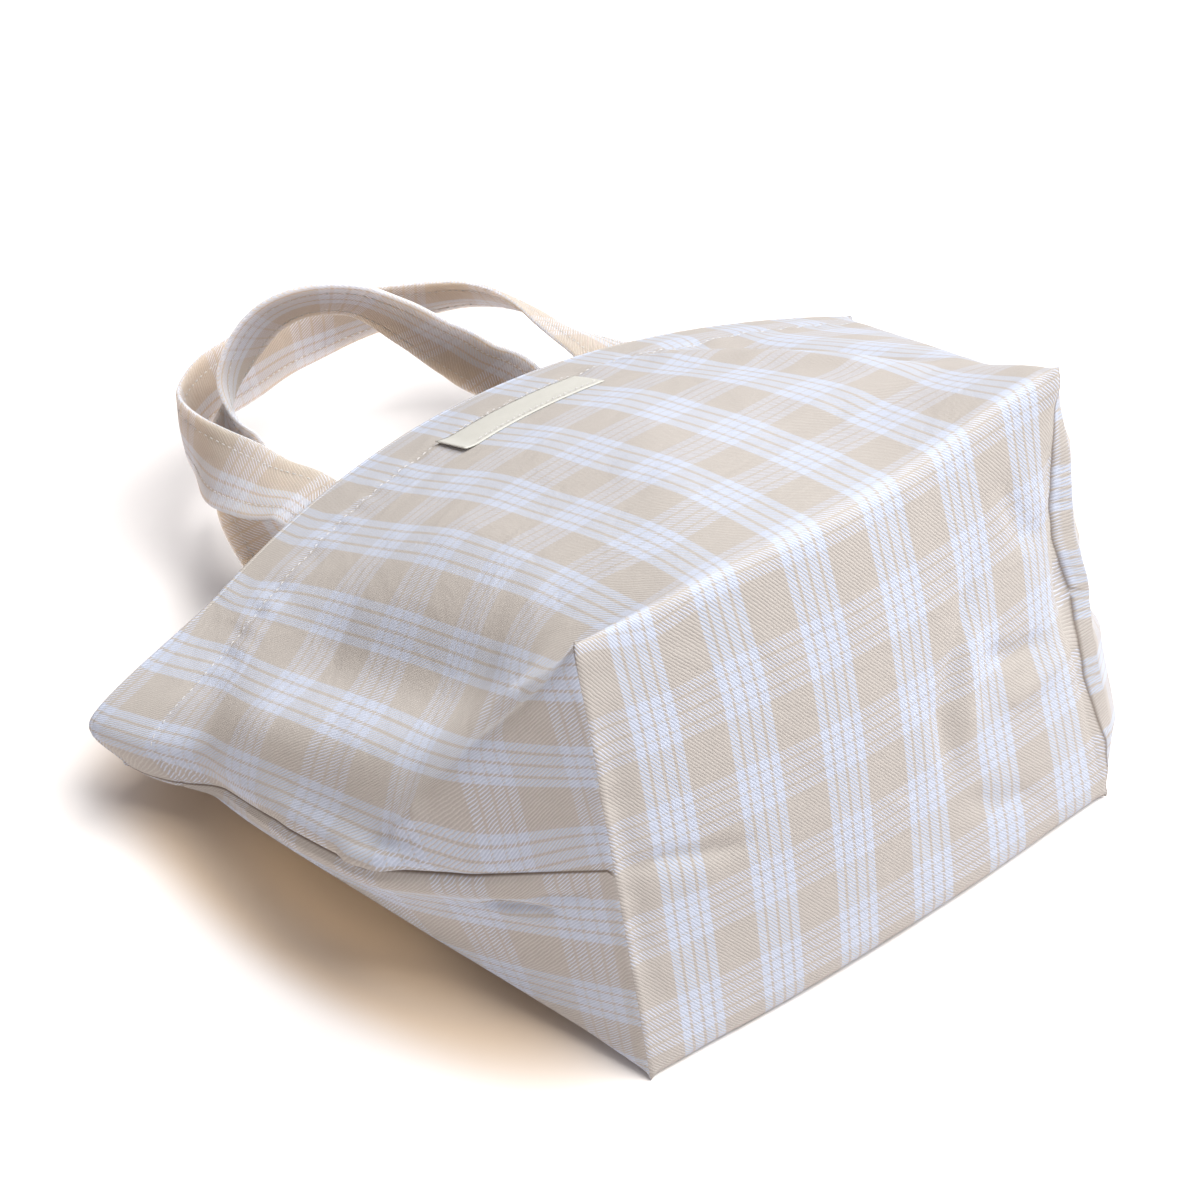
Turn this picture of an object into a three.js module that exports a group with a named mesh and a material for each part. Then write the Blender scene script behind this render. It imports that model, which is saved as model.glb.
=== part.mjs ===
// Mini tote bag in checked twill, lying on its back panel with the mouth towards +Y.
// Millimetres, +Z up. The origin is the middle of the back panel's resting face.
// The cloth is described by two cloth distances: across (from the middle of a panel towards a
// side seam) and height (from the base edge towards the mouth).

import * as THREE from 'three';

// Cut sizes of the bag
const BASE_WIDTH = 172;
const BASE_DEPTH = 155;
const PANEL_HEIGHT = 196;
const CLOTH = 1.6;
const HEM_DEPTH = 22;
const SEAM_ALLOWANCE = 9;

// Sizes of the straps, the label and the thread
const STRAP_WIDTH = 25;
const STRAP_THICKNESS = 3;
const STRAP_SPACING = 122;
const STRAP_END_LENGTH = 18;
const STRAP_STUB = 5;
const STITCH_INSET = 5;
const HINGE_THICKNESS = 0.6;
const FOLD_LENGTH = 12;
const LABEL_LENGTH = 54;
const LABEL_WIDTH = 15;
const LABEL_THICKNESS = 0.8;
const LABEL_STITCH_INSET = 2;
const THREAD = 0.8;
const CLEARANCE = 0.3;

// How the bag lies: angles in degrees, heights and bows in millimetres
const BASE_LEAN = 13.4;
const BASE_BULGE = 5;
const CORNER_SET_BACK = 4.5;
const FRONT_SLOPE = 25.1;
const FRONT_CROWN = 6;
const REST_SHARE = 0.38;
const MOUTH_LIFT = 4;
const MOUTH_LIFT_LENGTH = 70;

// Each end of the bag. From the base the side seam runs at the fold angle up to the fold height, where the
// crease from the upper base corner meets it, then on to the mouth with a spread, a drop and a sag. The
// powers shape the arch of the panels. The left end is slack and folds early, the right end is taut.
const LEFT_END = {
  foldHeight: 73.5,
  foldAngle: 51,
  spread: 9.1,
  drop: 17.1,
  sag: 6,
  front: { base: 2, fold: 3.4, mouth: 3.2 },
  back: { base: 2, mouth: 2 },
};
const RIGHT_END = {
  foldHeight: PANEL_HEIGHT,
  foldAngle: 69.6,
  spread: 0,
  drop: 0,
  sag: 0,
  front: { base: 2, fold: 2.2, mouth: 2.2 },
  back: { base: 2, mouth: 2 },
};

// How far the handle loops reach from their sewn ends
const FRONT_REACH = 86;
const FRONT_DROP = 11;
const REAR_REACH = 78;
const REAR_RISE = 75;

// Steps of the facets
const PANEL_STEPS = 15;
const SIDE_STEPS = 4;
const UPPER_STEPS = 5;
const HEM_STEPS = 2;
const BASE_STEPS = 2 * SIDE_STEPS;
const STRAP_STEPS = 72;
const ARCH_SAMPLES = 32;

const CLOTH_COLOUR = 0xdccdbb;
const WHITE_COLOUR = 0xe9ecf5;
const LABEL_COLOUR = 0xe6e6da;

const degrees = THREE.MathUtils.degToRad;
const lerp = THREE.MathUtils.lerp;
const smoothstep = THREE.MathUtils.smoothstep;
const vector = (x, y, z) => new THREE.Vector3(x, y, z);

const halfWidth = BASE_WIDTH / 2;
const halfGirth = (BASE_WIDTH + BASE_DEPTH) / 2;
const lean = degrees(BASE_LEAN);

// Corner points of the folded bag, for the left (side -1) and right (side 1) end.
const baseLow = vector(0, -PANEL_HEIGHT / 2, 0);
const baseUp = vector(0, Math.sin(lean), Math.cos(lean));
const baseInward = vector(0, Math.cos(lean), -Math.sin(lean));
const baseHigh = baseLow.clone().addScaledVector(baseUp, BASE_DEPTH);

function cornerPoints(side) {
  const end = side < 0 ? LEFT_END : RIGHT_END;
  const setBack = vector(side * halfWidth, CORNER_SET_BACK, 0);
  const low = baseLow.clone().add(setBack);
  const high = baseHigh.clone().add(setBack);
  const middle = low.clone().lerp(high, 0.5);
  const outward = Math.cos(degrees(end.foldAngle)) * end.foldHeight;
  const forward = Math.sin(degrees(end.foldAngle)) * end.foldHeight;
  const fold = middle.clone().add(vector(side * outward, 0, 0)).addScaledVector(baseInward, forward);
  const spread = Math.sin(degrees(end.spread));
  const drop = Math.sin(degrees(end.drop));
  const along = Math.sqrt(1 - spread * spread - drop * drop);
  const upper = PANEL_HEIGHT - end.foldHeight;
  const tip = fold.clone().add(vector(side * spread, along, -drop).multiplyScalar(upper));
  return { end, low, high, middle, fold, tip };
}

// Middle line of each panel, from the base edge to the mouth.
function frontMiddle(height) {
  const slope = degrees(FRONT_SLOPE);
  const share = height / PANEL_HEIGHT;
  const crown = FRONT_CROWN * Math.sin(Math.PI * share);
  return vector(0, baseHigh.y + height * Math.cos(slope), baseHigh.z - height * Math.sin(slope) + crown);
}

function backMiddle(height) {
  const share = Math.max(0, 1 - (PANEL_HEIGHT - height) / MOUTH_LIFT_LENGTH);
  return vector(0, baseLow.y + height, MOUTH_LIFT * share * share);
}

// Share of the run of an arch that fall = share ** power at a given share of its length.
function archShare(lengthShare, run, fall, power) {
  const lengths = [0];
  for (let i = 1; i <= ARCH_SAMPLES; i += 1) {
    const from = (i - 1) / ARCH_SAMPLES;
    const to = i / ARCH_SAMPLES;
    const rise = fall * (to ** power - from ** power);
    lengths.push(lengths[i - 1] + Math.hypot(run / ARCH_SAMPLES, rise));
  }
  const wanted = lengthShare * lengths[ARCH_SAMPLES];
  let step = 1;
  while (step < ARCH_SAMPLES && lengths[step] < wanted) {
    step += 1;
  }
  const part = (wanted - lengths[step - 1]) / (lengths[step] - lengths[step - 1]);
  return (step - 1 + part) / ARCH_SAMPLES;
}

// A point of the side seam. A taut seam is straight, a slack one bends at its fold and sags after it.
function seamPoint(corners, height) {
  const { end, middle, fold, tip } = corners;
  if (height <= end.foldHeight || end.foldHeight === PANEL_HEIGHT) {
    return middle.clone().lerp(fold, height / end.foldHeight);
  }
  const share = (height - end.foldHeight) / (PANEL_HEIGHT - end.foldHeight);
  return fold.clone().lerp(tip, share).add(vector(0, 0, -4 * end.sag * share * (1 - share)));
}

// How far across a panel its corner crease lies, and the share of the crease passed at this height.
function creaseAt(isFront, side, height) {
  const end = side < 0 ? LEFT_END : RIGHT_END;
  const share = Math.min(1, height / (isFront ? end.foldHeight : PANEL_HEIGHT));
  return { share, distance: lerp(halfWidth, halfGirth, share) };
}

function archPower(isFront, end, height) {
  if (!isFront) {
    return lerp(end.back.base, end.back.mouth, height / PANEL_HEIGHT);
  }
  if (height <= end.foldHeight) {
    return lerp(end.front.base, end.front.fold, height / end.foldHeight);
  }
  const share = (height - end.foldHeight) / Math.max(1, PANEL_HEIGHT - end.foldHeight);
  return lerp(end.front.fold, end.front.mouth, Math.min(1, share));
}

// A point of the cloth's outer face. The front arches from its middle to its crease. The back lies flat,
// then rises to its crease. Between crease and side seam the cloth is flat.
function clothPoint(isFront, across, height) {
  const side = across < 0 ? -1 : 1;
  const corners = cornerPoints(side);
  const distance = Math.abs(across);
  const seam = seamPoint(corners, height);
  const crease = creaseAt(isFront, side, height);
  const corner = isFront ? corners.high : corners.low;
  const creaseEnd = isFront ? corners.fold : corners.tip;
  const edge = crease.share < 1 ? corner.clone().lerp(creaseEnd, crease.share) : seam;
  if (distance >= crease.distance) {
    const width = halfGirth - crease.distance;
    return edge.clone().lerp(seam, width > 0 ? (distance - crease.distance) / width : 0);
  }
  const middle = isFront ? frontMiddle(height) : backMiddle(height);
  const power = archPower(isFront, corners.end, height);
  const flat = isFront || height === 0 ? 0 : REST_SHARE;
  const reach = edge.clone().sub(middle);
  const fall = Math.hypot(reach.y, reach.z);
  const run = Math.abs(reach.x);
  const lengthShare = distance / crease.distance;
  const bendShare = Math.max(0, (lengthShare - flat) / (1 - flat));
  const bent = archShare(bendShare, run * (1 - flat), fall, power);
  const runShare = lengthShare < flat ? lengthShare : flat + (1 - flat) * bent;
  const fallShare = lengthShare < flat ? 0 : bent ** power;
  const sweepShare = isFront ? smoothstep(runShare, 0, 1) : fallShare;
  return vector(
    middle.x + reach.x * runShare,
    middle.y + reach.y * sweepShare,
    middle.z + reach.z * fallShare,
  );
}

// Outward direction of the cloth, from small steps along it.
function clothNormal(isFront, across, height) {
  const step = 0.5;
  const alongAcross = clothPoint(isFront, across + step, height).sub(clothPoint(isFront, across - step, height));
  const alongHeight = clothPoint(isFront, across, height + step).sub(clothPoint(isFront, across, height - step));
  const normal = alongAcross.cross(alongHeight).normalize();
  return isFront ? normal : normal.negate();
}

function layerPoint(isFront, across, height, depth) {
  const normal = clothNormal(isFront, across, height);
  return clothPoint(isFront, across, height).addScaledVector(normal, -depth);
}

// Six times the volume that a list of triangles closes in, negative where they face inwards.
function signedVolume(points, triangles) {
  let total = 0;
  for (let i = 0; i < triangles.length; i += 3) {
    const [a, b, c] = [0, 1, 2].map((corner) => points[triangles[i + corner]]);
    total += a.dot(b.clone().cross(c));
  }
  return total;
}

// An indexed geometry, facing outwards, from a list of points and a list of polygons.
function geometryFrom(points, polygons) {
  const geometry = new THREE.BufferGeometry();
  const triangles = [];
  for (const polygon of polygons) {
    for (let i = 2; i < polygon.length; i += 1) {
      triangles.push(polygon[0], polygon[i - 1], polygon[i]);
    }
  }
  if (signedVolume(points, triangles) < 0) {
    triangles.reverse();
  }
  geometry.setAttribute('position', new THREE.Float32BufferAttribute(points.flatMap((p) => [p.x, p.y, p.z]), 3));
  geometry.setIndex(triangles);
  geometry.computeVertexNormals();
  return geometry;
}

// Faces that close a ring of points, as a strip from its first and last point to its far side.
function capFaces(count) {
  const faces = [];
  for (let i = 0; 2 * i + 2 < count; i += 1) {
    const j = count - 1 - i;
    faces.push(i + 1 < j - 1 ? [i, i + 1, j - 1, j] : [i, i + 1, j]);
  }
  return faces;
}

// A tube through a list of rings that all have the same count of points.
function tubeFrom(rings, closed) {
  const count = rings[0].length;
  const polygons = [];
  const lastRing = closed ? rings.length : rings.length - 1;
  for (let r = 0; r < lastRing; r += 1) {
    const next = (r + 1) % rings.length;
    for (let i = 0; i < count; i += 1) {
      const j = (i + 1) % count;
      polygons.push([r * count + i, r * count + j, next * count + j, next * count + i]);
    }
  }
  if (!closed) {
    const end = (rings.length - 1) * count;
    for (const face of capFaces(count)) {
      polygons.push([...face].reverse());
      polygons.push(face.map((i) => end + i));
    }
  }
  return geometryFrom(rings.flat(), polygons);
}

// Columns round the bag: the front from the left seam to the right seam, then the back.
const frontAcross = [];
for (let i = 0; i < SIDE_STEPS; i += 1) {
  frontAcross.push(lerp(-halfGirth, -halfWidth, i / SIDE_STEPS));
}
for (let i = 0; i < PANEL_STEPS; i += 1) {
  frontAcross.push(lerp(-halfWidth, halfWidth, i / PANEL_STEPS));
}
for (let i = 0; i <= SIDE_STEPS; i += 1) {
  frontAcross.push(lerp(halfWidth, halfGirth, i / SIDE_STEPS));
}
const panelColumns = frontAcross.length - 1;
const ringColumns = 2 * panelColumns;
const columns = frontAcross.map((across) => ({ isFront: true, across }));
for (let i = panelColumns - 1; i > 0; i -= 1) {
  columns.push({ isFront: false, across: frontAcross[i] });
}

// The column nearest to a corner crease is moved onto it, so that the crease stays sharp.
function columnAcross({ isFront, across }, height) {
  const spacing = (halfGirth - halfWidth) / SIDE_STEPS;
  const side = Math.sign(across);
  const crease = creaseAt(isFront, side, height).distance;
  const nearest = Math.min(SIDE_STEPS - 1, Math.round((crease - halfWidth) / spacing));
  const own = Math.round((Math.abs(across) - halfWidth) / spacing);
  const reachesSeam = crease > halfGirth - spacing / 4;
  return own === nearest && !reachesSeam ? side * crease : across;
}

// Rows up the bag.
const hemLine = PANEL_HEIGHT - HEM_DEPTH;
const heights = [];
for (let i = 0; i < SIDE_STEPS; i += 1) {
  heights.push(LEFT_END.foldHeight * i / SIDE_STEPS);
}
for (let i = 0; i < UPPER_STEPS; i += 1) {
  heights.push(lerp(LEFT_END.foldHeight, hemLine, i / UPPER_STEPS));
}
for (let i = 0; i <= HEM_STEPS; i += 1) {
  heights.push(lerp(hemLine, PANEL_HEIGHT, i / HEM_STEPS));
}

// Outer face of the body: the rings, then the inner points of the base.
const outerPoints = [];
const outerFaces = [];
for (const height of heights) {
  outerPoints.push(...columns.map((column) => {
    return clothPoint(column.isFront, columnAcross(column, height), height);
  }));
}
for (let row = 0; row + 1 < heights.length; row += 1) {
  for (let i = 0; i < ringColumns; i += 1) {
    const a = row * ringColumns + i;
    const b = row * ringColumns + (i + 1) % ringColumns;
    const c = b + ringColumns;
    const d = a + ringColumns;
    const positionInPanel = i % panelColumns;
    const leansLeft = positionInPanel < panelColumns / 2;
    outerFaces.push(...(leansLeft ? [[a, b, d], [b, c, d]] : [[a, b, c], [a, c, d]]));
  }
}

function baseIndex(i, k) {
  if (k === 0) {
    return SIDE_STEPS + i;
  }
  if (k === BASE_STEPS) {
    return panelColumns + SIDE_STEPS + PANEL_STEPS - i;
  }
  if (i === 0) {
    return (SIDE_STEPS - k + ringColumns) % ringColumns;
  }
  if (i === PANEL_STEPS) {
    return SIDE_STEPS + PANEL_STEPS + k;
  }
  return heights.length * ringColumns + (k - 1) * (PANEL_STEPS - 1) + i - 1;
}

for (let k = 1; k < BASE_STEPS; k += 1) {
  for (let i = 1; i < PANEL_STEPS; i += 1) {
    const across = lerp(-halfWidth, halfWidth, i / PANEL_STEPS);
    const share = k / BASE_STEPS;
    const point = clothPoint(true, across, 0).lerp(clothPoint(false, across, 0), share);
    const widthShare = across / halfWidth;
    point.addScaledVector(baseInward, -BASE_BULGE * Math.sin(Math.PI * share) * (1 - widthShare * widthShare));
    outerPoints.push(point);
  }
}
for (let k = 0; k < BASE_STEPS; k += 1) {
  for (let i = 0; i < PANEL_STEPS; i += 1) {
    outerFaces.push([baseIndex(i, k), baseIndex(i, k + 1), baseIndex(i + 1, k + 1)]);
    outerFaces.push([baseIndex(i, k), baseIndex(i + 1, k + 1), baseIndex(i + 1, k)]);
  }
}

// Inward direction at each outer point, lengthened at sharp folds so that the wall keeps its thickness.
function faceNormal(face) {
  const [a, b, c] = face.map((index) => outerPoints[index]);
  return b.clone().sub(a).cross(c.clone().sub(a)).normalize();
}

const SHARPEST_FOLD = 0.4;
const faceNormals = outerFaces.map(faceNormal);
const facesAt = outerPoints.map(() => []);
outerFaces.forEach((face, f) => face.forEach((index) => facesAt[index].push(faceNormals[f])));
const inward = facesAt.map((normals) => {
  const sum = normals.reduce((total, normal) => total.add(normal), vector(0, 0, 0)).normalize();
  const least = Math.min(...normals.map((normal) => normal.dot(sum)));
  return sum.multiplyScalar(-1 / Math.max(SHARPEST_FOLD, least));
});

function ringAt(row, depth) {
  return columns.map((_, i) => {
    const index = row * ringColumns + i;
    return outerPoints[index].clone().addScaledVector(inward[index], depth);
  });
}

// The body cloth: outer face, inner face and the raw rim between them.
function bodyCloth() {
  const count = outerPoints.length;
  const innerPoints = outerPoints.map((point, i) => point.clone().addScaledVector(inward[i], CLOTH));
  const faces = [...outerFaces];
  faces.push(...outerFaces.map((face) => face.map((index) => index + count).reverse()));
  const rim = (heights.length - 1) * ringColumns;
  for (let i = 0; i < ringColumns; i += 1) {
    const a = rim + i;
    const b = rim + (i + 1) % ringColumns;
    faces.push([a, b, b + count], [a, b + count, a + count]);
  }
  return geometryFrom([...outerPoints, ...innerPoints], faces);
}

// The hem: the edge of the cloth turned in, a band inside the mouth.
const hemTop = CLOTH + CLEARANCE;
const hemBottom = hemTop + CLOTH;

function mouthHem() {
  const firstRow = heights.length - 1 - HEM_STEPS;
  const outside = [];
  const inside = [];
  for (let row = firstRow; row < heights.length; row += 1) {
    outside.push(ringAt(row, hemTop));
    inside.unshift(ringAt(row, hemBottom));
  }
  return tubeFrom([...outside, ...inside], true);
}

// A seam allowance: a strip that stands inward from a line of seam points.
function seamStrip(seats) {
  const half = CLOTH / 2;
  return tubeFrom(seats.map(({ point, into, flat }) => {
    const far = point.clone().addScaledVector(into, SEAM_ALLOWANCE);
    const side = flat.clone().multiplyScalar(half);
    return [point.clone().sub(side), point.clone().add(side), far.clone().add(side), far.clone().sub(side)];
  }), false);
}

// Where an allowance starts: as near to the two walls of the fold as the clearance lets it.
function seamSeat(index, tangent) {
  const into = inward[index].clone().normalize();
  const sine = Math.min(1, 1 / inward[index].length());
  const cosine = Math.sqrt(1 - sine * sine);
  const start = (CLOTH + CLEARANCE + CLOTH / 2 * cosine) / sine;
  const point = outerPoints[index].clone().addScaledVector(into, start);
  return { point, into, flat: tangent.clone().cross(into).normalize() };
}

function sideSeam(column) {
  const indices = [];
  for (let row = 1; heights[row] < hemLine; row += 1) {
    indices.push(row * ringColumns + column);
  }
  return seamStrip(indices.map((index) => {
    const tangent = outerPoints[index + ringColumns].clone().sub(outerPoints[index - ringColumns]);
    return seamSeat(index, tangent);
  }));
}

function cornerSeam(i) {
  const indices = [];
  for (let k = 1; k < BASE_STEPS; k += 1) {
    indices.push(baseIndex(i, k));
  }
  const tangent = outerPoints[indices[0]].clone().sub(outerPoints[indices.at(-1)]);
  return seamStrip(indices.map((index) => seamSeat(index, tangent)));
}

// A thread that goes all round the mouth on the hem line.
function threadSection(centre, across, along) {
  const sides = 5;
  const ring = [];
  for (let i = 0; i < sides; i += 1) {
    const angle = 2 * Math.PI * i / sides;
    const offset = across.clone().multiplyScalar(Math.cos(angle)).addScaledVector(along, Math.sin(angle));
    ring.push(centre.clone().addScaledVector(offset, THREAD / 2));
  }
  return ring;
}

function closedThread(centres, outwards) {
  const rings = centres.map((centre, i) => {
    const next = centres[(i + 1) % centres.length];
    const previous = centres[(i + centres.length - 1) % centres.length];
    const tangent = next.clone().sub(previous).normalize();
    const side = tangent.clone().cross(outwards[i]).normalize();
    return threadSection(centre, side.clone().cross(tangent), side);
  });
  return tubeFrom(rings, true);
}

const threadLift = CLEARANCE + THREAD / 2;

function hemStitching() {
  const row = heights.length - 1 - HEM_STEPS;
  const centres = ringAt(row, -threadLift);
  return closedThread(centres, columns.map((_, i) => inward[row * ringColumns + i].clone().negate()));
}

// A slab of cloth that follows a panel between two depths under its outer face.
function slabRings(isFront, acrossFrom, acrossTo, heightFrom, heightTo, depthFrom, depthTo) {
  const steps = 4;
  const rings = [];
  for (let i = 0; i <= steps; i += 1) {
    const height = lerp(heightFrom, heightTo, i / steps);
    const top = [];
    const bottom = [];
    for (let j = 0; j <= steps; j += 1) {
      const across = lerp(acrossFrom, acrossTo, j / steps);
      top.push(layerPoint(isFront, across, height, depthFrom));
      bottom.unshift(layerPoint(isFront, across, height, depthTo));
    }
    rings.push([...top, ...bottom]);
  }
  return rings;
}

function panelSlab(...extent) {
  return tubeFrom(slabRings(...extent), false);
}

// Sewn ends of the straps, laid against the inside of the hem and standing a little past the mouth.
const strapTop = hemBottom + 2 * CLEARANCE;
const strapBottom = strapTop + STRAP_THICKNESS;
const axisHeight = PANEL_HEIGHT + STRAP_STUB + CLEARANCE + HINGE_THICKNESS / 2;

// Where a handle folds at its seat: the middle of the fold line, and the line through both seats.
const strapMiddle = (strapTop + strapBottom) / 2;

function strapAxis(isFront, side) {
  return layerPoint(isFront, side * STRAP_SPACING / 2, axisHeight, strapMiddle);
}

function foldLine(isFront) {
  return strapAxis(isFront, 1).sub(strapAxis(isFront, -1)).normalize();
}

function strapEnd(isFront, side) {
  const middle = side * STRAP_SPACING / 2;
  const half = STRAP_WIDTH / 2;
  const low = PANEL_HEIGHT - STRAP_END_LENGTH;
  const rings = slabRings(isFront, middle - half, middle + half, low, PANEL_HEIGHT, strapTop, strapBottom);
  const seat = strapAxis(isFront, side);
  const along = foldLine(isFront);
  const ahead = seat.clone().sub(layerPoint(isFront, middle, PANEL_HEIGHT, strapMiddle));
  ahead.addScaledVector(along, -ahead.dot(along)).normalize();
  const out = along.clone().cross(ahead).multiplyScalar(HINGE_THICKNESS / 2);
  const edge = seat.addScaledVector(ahead, -CLEARANCE - HINGE_THICKNESS / 2);
  const outer = [];
  const inner = [];
  const steps = rings[0].length / 2 - 1;
  for (let j = 0; j <= steps; j += 1) {
    const place = edge.clone().addScaledVector(along, lerp(-half, half, j / steps));
    outer.push(place.clone().add(isFront ? out : out.clone().negate()));
    inner.unshift(place.clone().sub(isFront ? out : out.clone().negate()));
  }
  rings.push([...outer, ...inner]);
  return tubeFrom(rings, false);
}

// How much the panel tilts sideways where a strap leaves it, outer edge up being positive.
function seatTurn(isFront, side) {
  const normal = clothNormal(isFront, side * STRAP_SPACING / 2, axisHeight);
  const tilt = THREE.MathUtils.radToDeg(Math.atan2(side * normal.x, Math.abs(normal.z)));
  return isFront ? -tilt : tilt;
}

// Routes of the two handle loops from the left seat to the right one. Each row is a share of half the
// strap spacing, a share of the reach, a share of the rise, and the turn of the strap about its own line
// in degrees, where 0 is flat and -90 is on edge with the outer edge down.
const FRONT_ROUTE = [
  [-1, 0, 0, seatTurn(true, -1)],
  [-1, 0.12, -0.23, -16],
  [-1.12, 0.29, -0.59, -36],
  [-1.15, 0.5, -0.86, -58],
  [-1.15, 0.69, -1, -80],
  [-1.11, 0.84, -1, -90],
  [-0.94, 0.92, -1.05, -90],
  [-0.65, 0.97, -1.09, -88],
  [-0.17, 1, -1.09, -82],
  [0.27, 0.95, -1.09, -75],
  [0.58, 0.87, -1.05, -66],
  [0.78, 0.78, -0.91, -58],
  [0.9, 0.67, -0.82, -52],
  [0.97, 0.51, -0.73, -46],
  [0.99, 0.36, -0.64, -38],
  [1, 0.22, -0.36, -26],
  [1, 0.09, -0.09, -14],
  [1, 0, 0, seatTurn(true, 1)],
];
const REAR_ROUTE = [
  [-1, 0, 0, seatTurn(false, -1)],
  [-1, 0.11, 0.04, 2],
  [-1.11, 0.37, 0.15, -10],
  [-1.08, 0.6, 0.25, -28],
  [-1.01, 0.77, 0.36, -45],
  [-0.95, 0.89, 0.47, -52],
  [-0.86, 0.955, 0.61, -55],
  [-0.75, 0.97, 0.77, -50],
  [-0.61, 0.94, 0.91, -42],
  [-0.42, 0.87, 0.99, -32],
  [-0.21, 0.77, 0.98, -22],
  [-0.03, 0.69, 0.89, -12],
  [0.17, 0.62, 0.73, 0],
  [0.4, 0.56, 0.54, 10],
  [0.63, 0.49, 0.37, 14],
  [0.87, 0.29, 0.18, 8],
  [1, 0.11, 0.05, 2],
  [1, 0, 0, seatTurn(false, 1)],
];

// A strap or thread swept along a route. The section is a list of [across, out] pairs. At the seats the
// strap is pressed thin, where it folds as the handle swings.
function alongRoute(isFront, section) {
  const route = isFront ? FRONT_ROUTE : REAR_ROUTE;
  const reach = isFront ? FRONT_REACH : REAR_REACH;
  const rise = isFront ? FRONT_DROP : REAR_RISE;
  const left = strapAxis(isFront, -1);
  const right = strapAxis(isFront, 1);
  const points = route.map(([x, y, z]) => {
    return left.clone().lerp(right, (x + 1) / 2).add(vector(0, y * reach, z * rise));
  });
  const curve = new THREE.CatmullRomCurve3(points, false, 'centripetal');
  const turns = new THREE.SplineCurve(route.map((row, i) => new THREE.Vector2(i, row[3])));
  const up = vector(0, 0, 1);
  const rings = [];
  for (let i = 0; i <= STRAP_STEPS; i += 1) {
    const t = i / STRAP_STEPS;
    const turn = degrees(turns.getPoint(t).y);
    const centre = curve.getPoint(t);
    const tangent = curve.getTangent(t);
    const outwards = up.clone().cross(tangent).normalize();
    const upright = tangent.clone().cross(outwards);
    const across = outwards.multiplyScalar(Math.cos(turn)).addScaledVector(upright, Math.sin(turn));
    const side = t < 0.5 ? -1 : 1;
    const fromSeat = centre.distanceTo(side < 0 ? left : right);
    const free = smoothstep(fromSeat, 0, FOLD_LENGTH);
    const hinge = foldLine(isFront).multiplyScalar(side);
    across.lerp(hinge, 1 - free).normalize();
    const out = tangent.clone().cross(across).normalize();
    out.multiplyScalar(lerp(HINGE_THICKNESS / STRAP_THICKNESS, 1, free));
    rings.push(section.map(([u, v]) => centre.clone().addScaledVector(across, u).addScaledVector(out, v)));
  }
  return tubeFrom(rings, false);
}

const EDGE_ROUNDING = 1;

function strapSection() {
  const a = STRAP_WIDTH / 2;
  const b = STRAP_THICKNESS / 2;
  const side = b - EDGE_ROUNDING * 0.7;
  const corner = a - EDGE_ROUNDING;
  const stitch = a - STITCH_INSET;
  const face = [corner, stitch, -stitch, -corner];
  const top = face.map((u) => [u, b]);
  const bottom = face.map((u) => [-u, -b]);
  return [[a, -side], [a, side], ...top, [-a, side], [-a, -side], ...bottom];
}

function stitchSection(side) {
  const middle = side * (STRAP_WIDTH / 2 - STITCH_INSET);
  const lift = STRAP_THICKNESS / 2 + threadLift;
  const sides = 5;
  const section = [];
  for (let i = 0; i < sides; i += 1) {
    const angle = 2 * Math.PI * i / sides;
    section.push([middle + THREAD / 2 * Math.cos(angle), lift + THREAD / 2 * Math.sin(angle)]);
  }
  return section;
}

// The label lies on the front just under the hem line, sewn down by a thread near its edge.
const labelHigh = hemLine - THREAD - CLEARANCE;
const labelLow = labelHigh - LABEL_WIDTH;
const labelLift = CLEARANCE;

function wovenLabel() {
  const half = LABEL_LENGTH / 2;
  const lowest = -labelLift;
  return panelSlab(true, -half, half, labelLow, labelHigh, lowest - LABEL_THICKNESS, lowest);
}

function labelStitching() {
  const steps = 6;
  const half = LABEL_LENGTH / 2 - LABEL_STITCH_INSET;
  const low = labelLow + LABEL_STITCH_INSET;
  const high = labelHigh - LABEL_STITCH_INSET;
  const corners = [[-half, low], [half, low], [half, high], [-half, high]];
  const depth = -labelLift - LABEL_THICKNESS - threadLift;
  const centres = [];
  const outwards = [];
  corners.forEach(([across, height], c) => {
    const [nextAcross, nextHeight] = corners[(c + 1) % corners.length];
    for (let i = 0; i < steps; i += 1) {
      const place = [lerp(across, nextAcross, i / steps), lerp(height, nextHeight, i / steps)];
      centres.push(layerPoint(true, ...place, depth));
      outwards.push(clothNormal(true, ...place));
    }
  });
  return closedThread(centres, outwards);
}

function piece(name, geometry, colour) {
  const material = new THREE.MeshStandardMaterial({ color: colour, roughness: 0.9, metalness: 0 });
  const mesh = new THREE.Mesh(geometry, material);
  mesh.name = name;
  return mesh;
}

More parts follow.
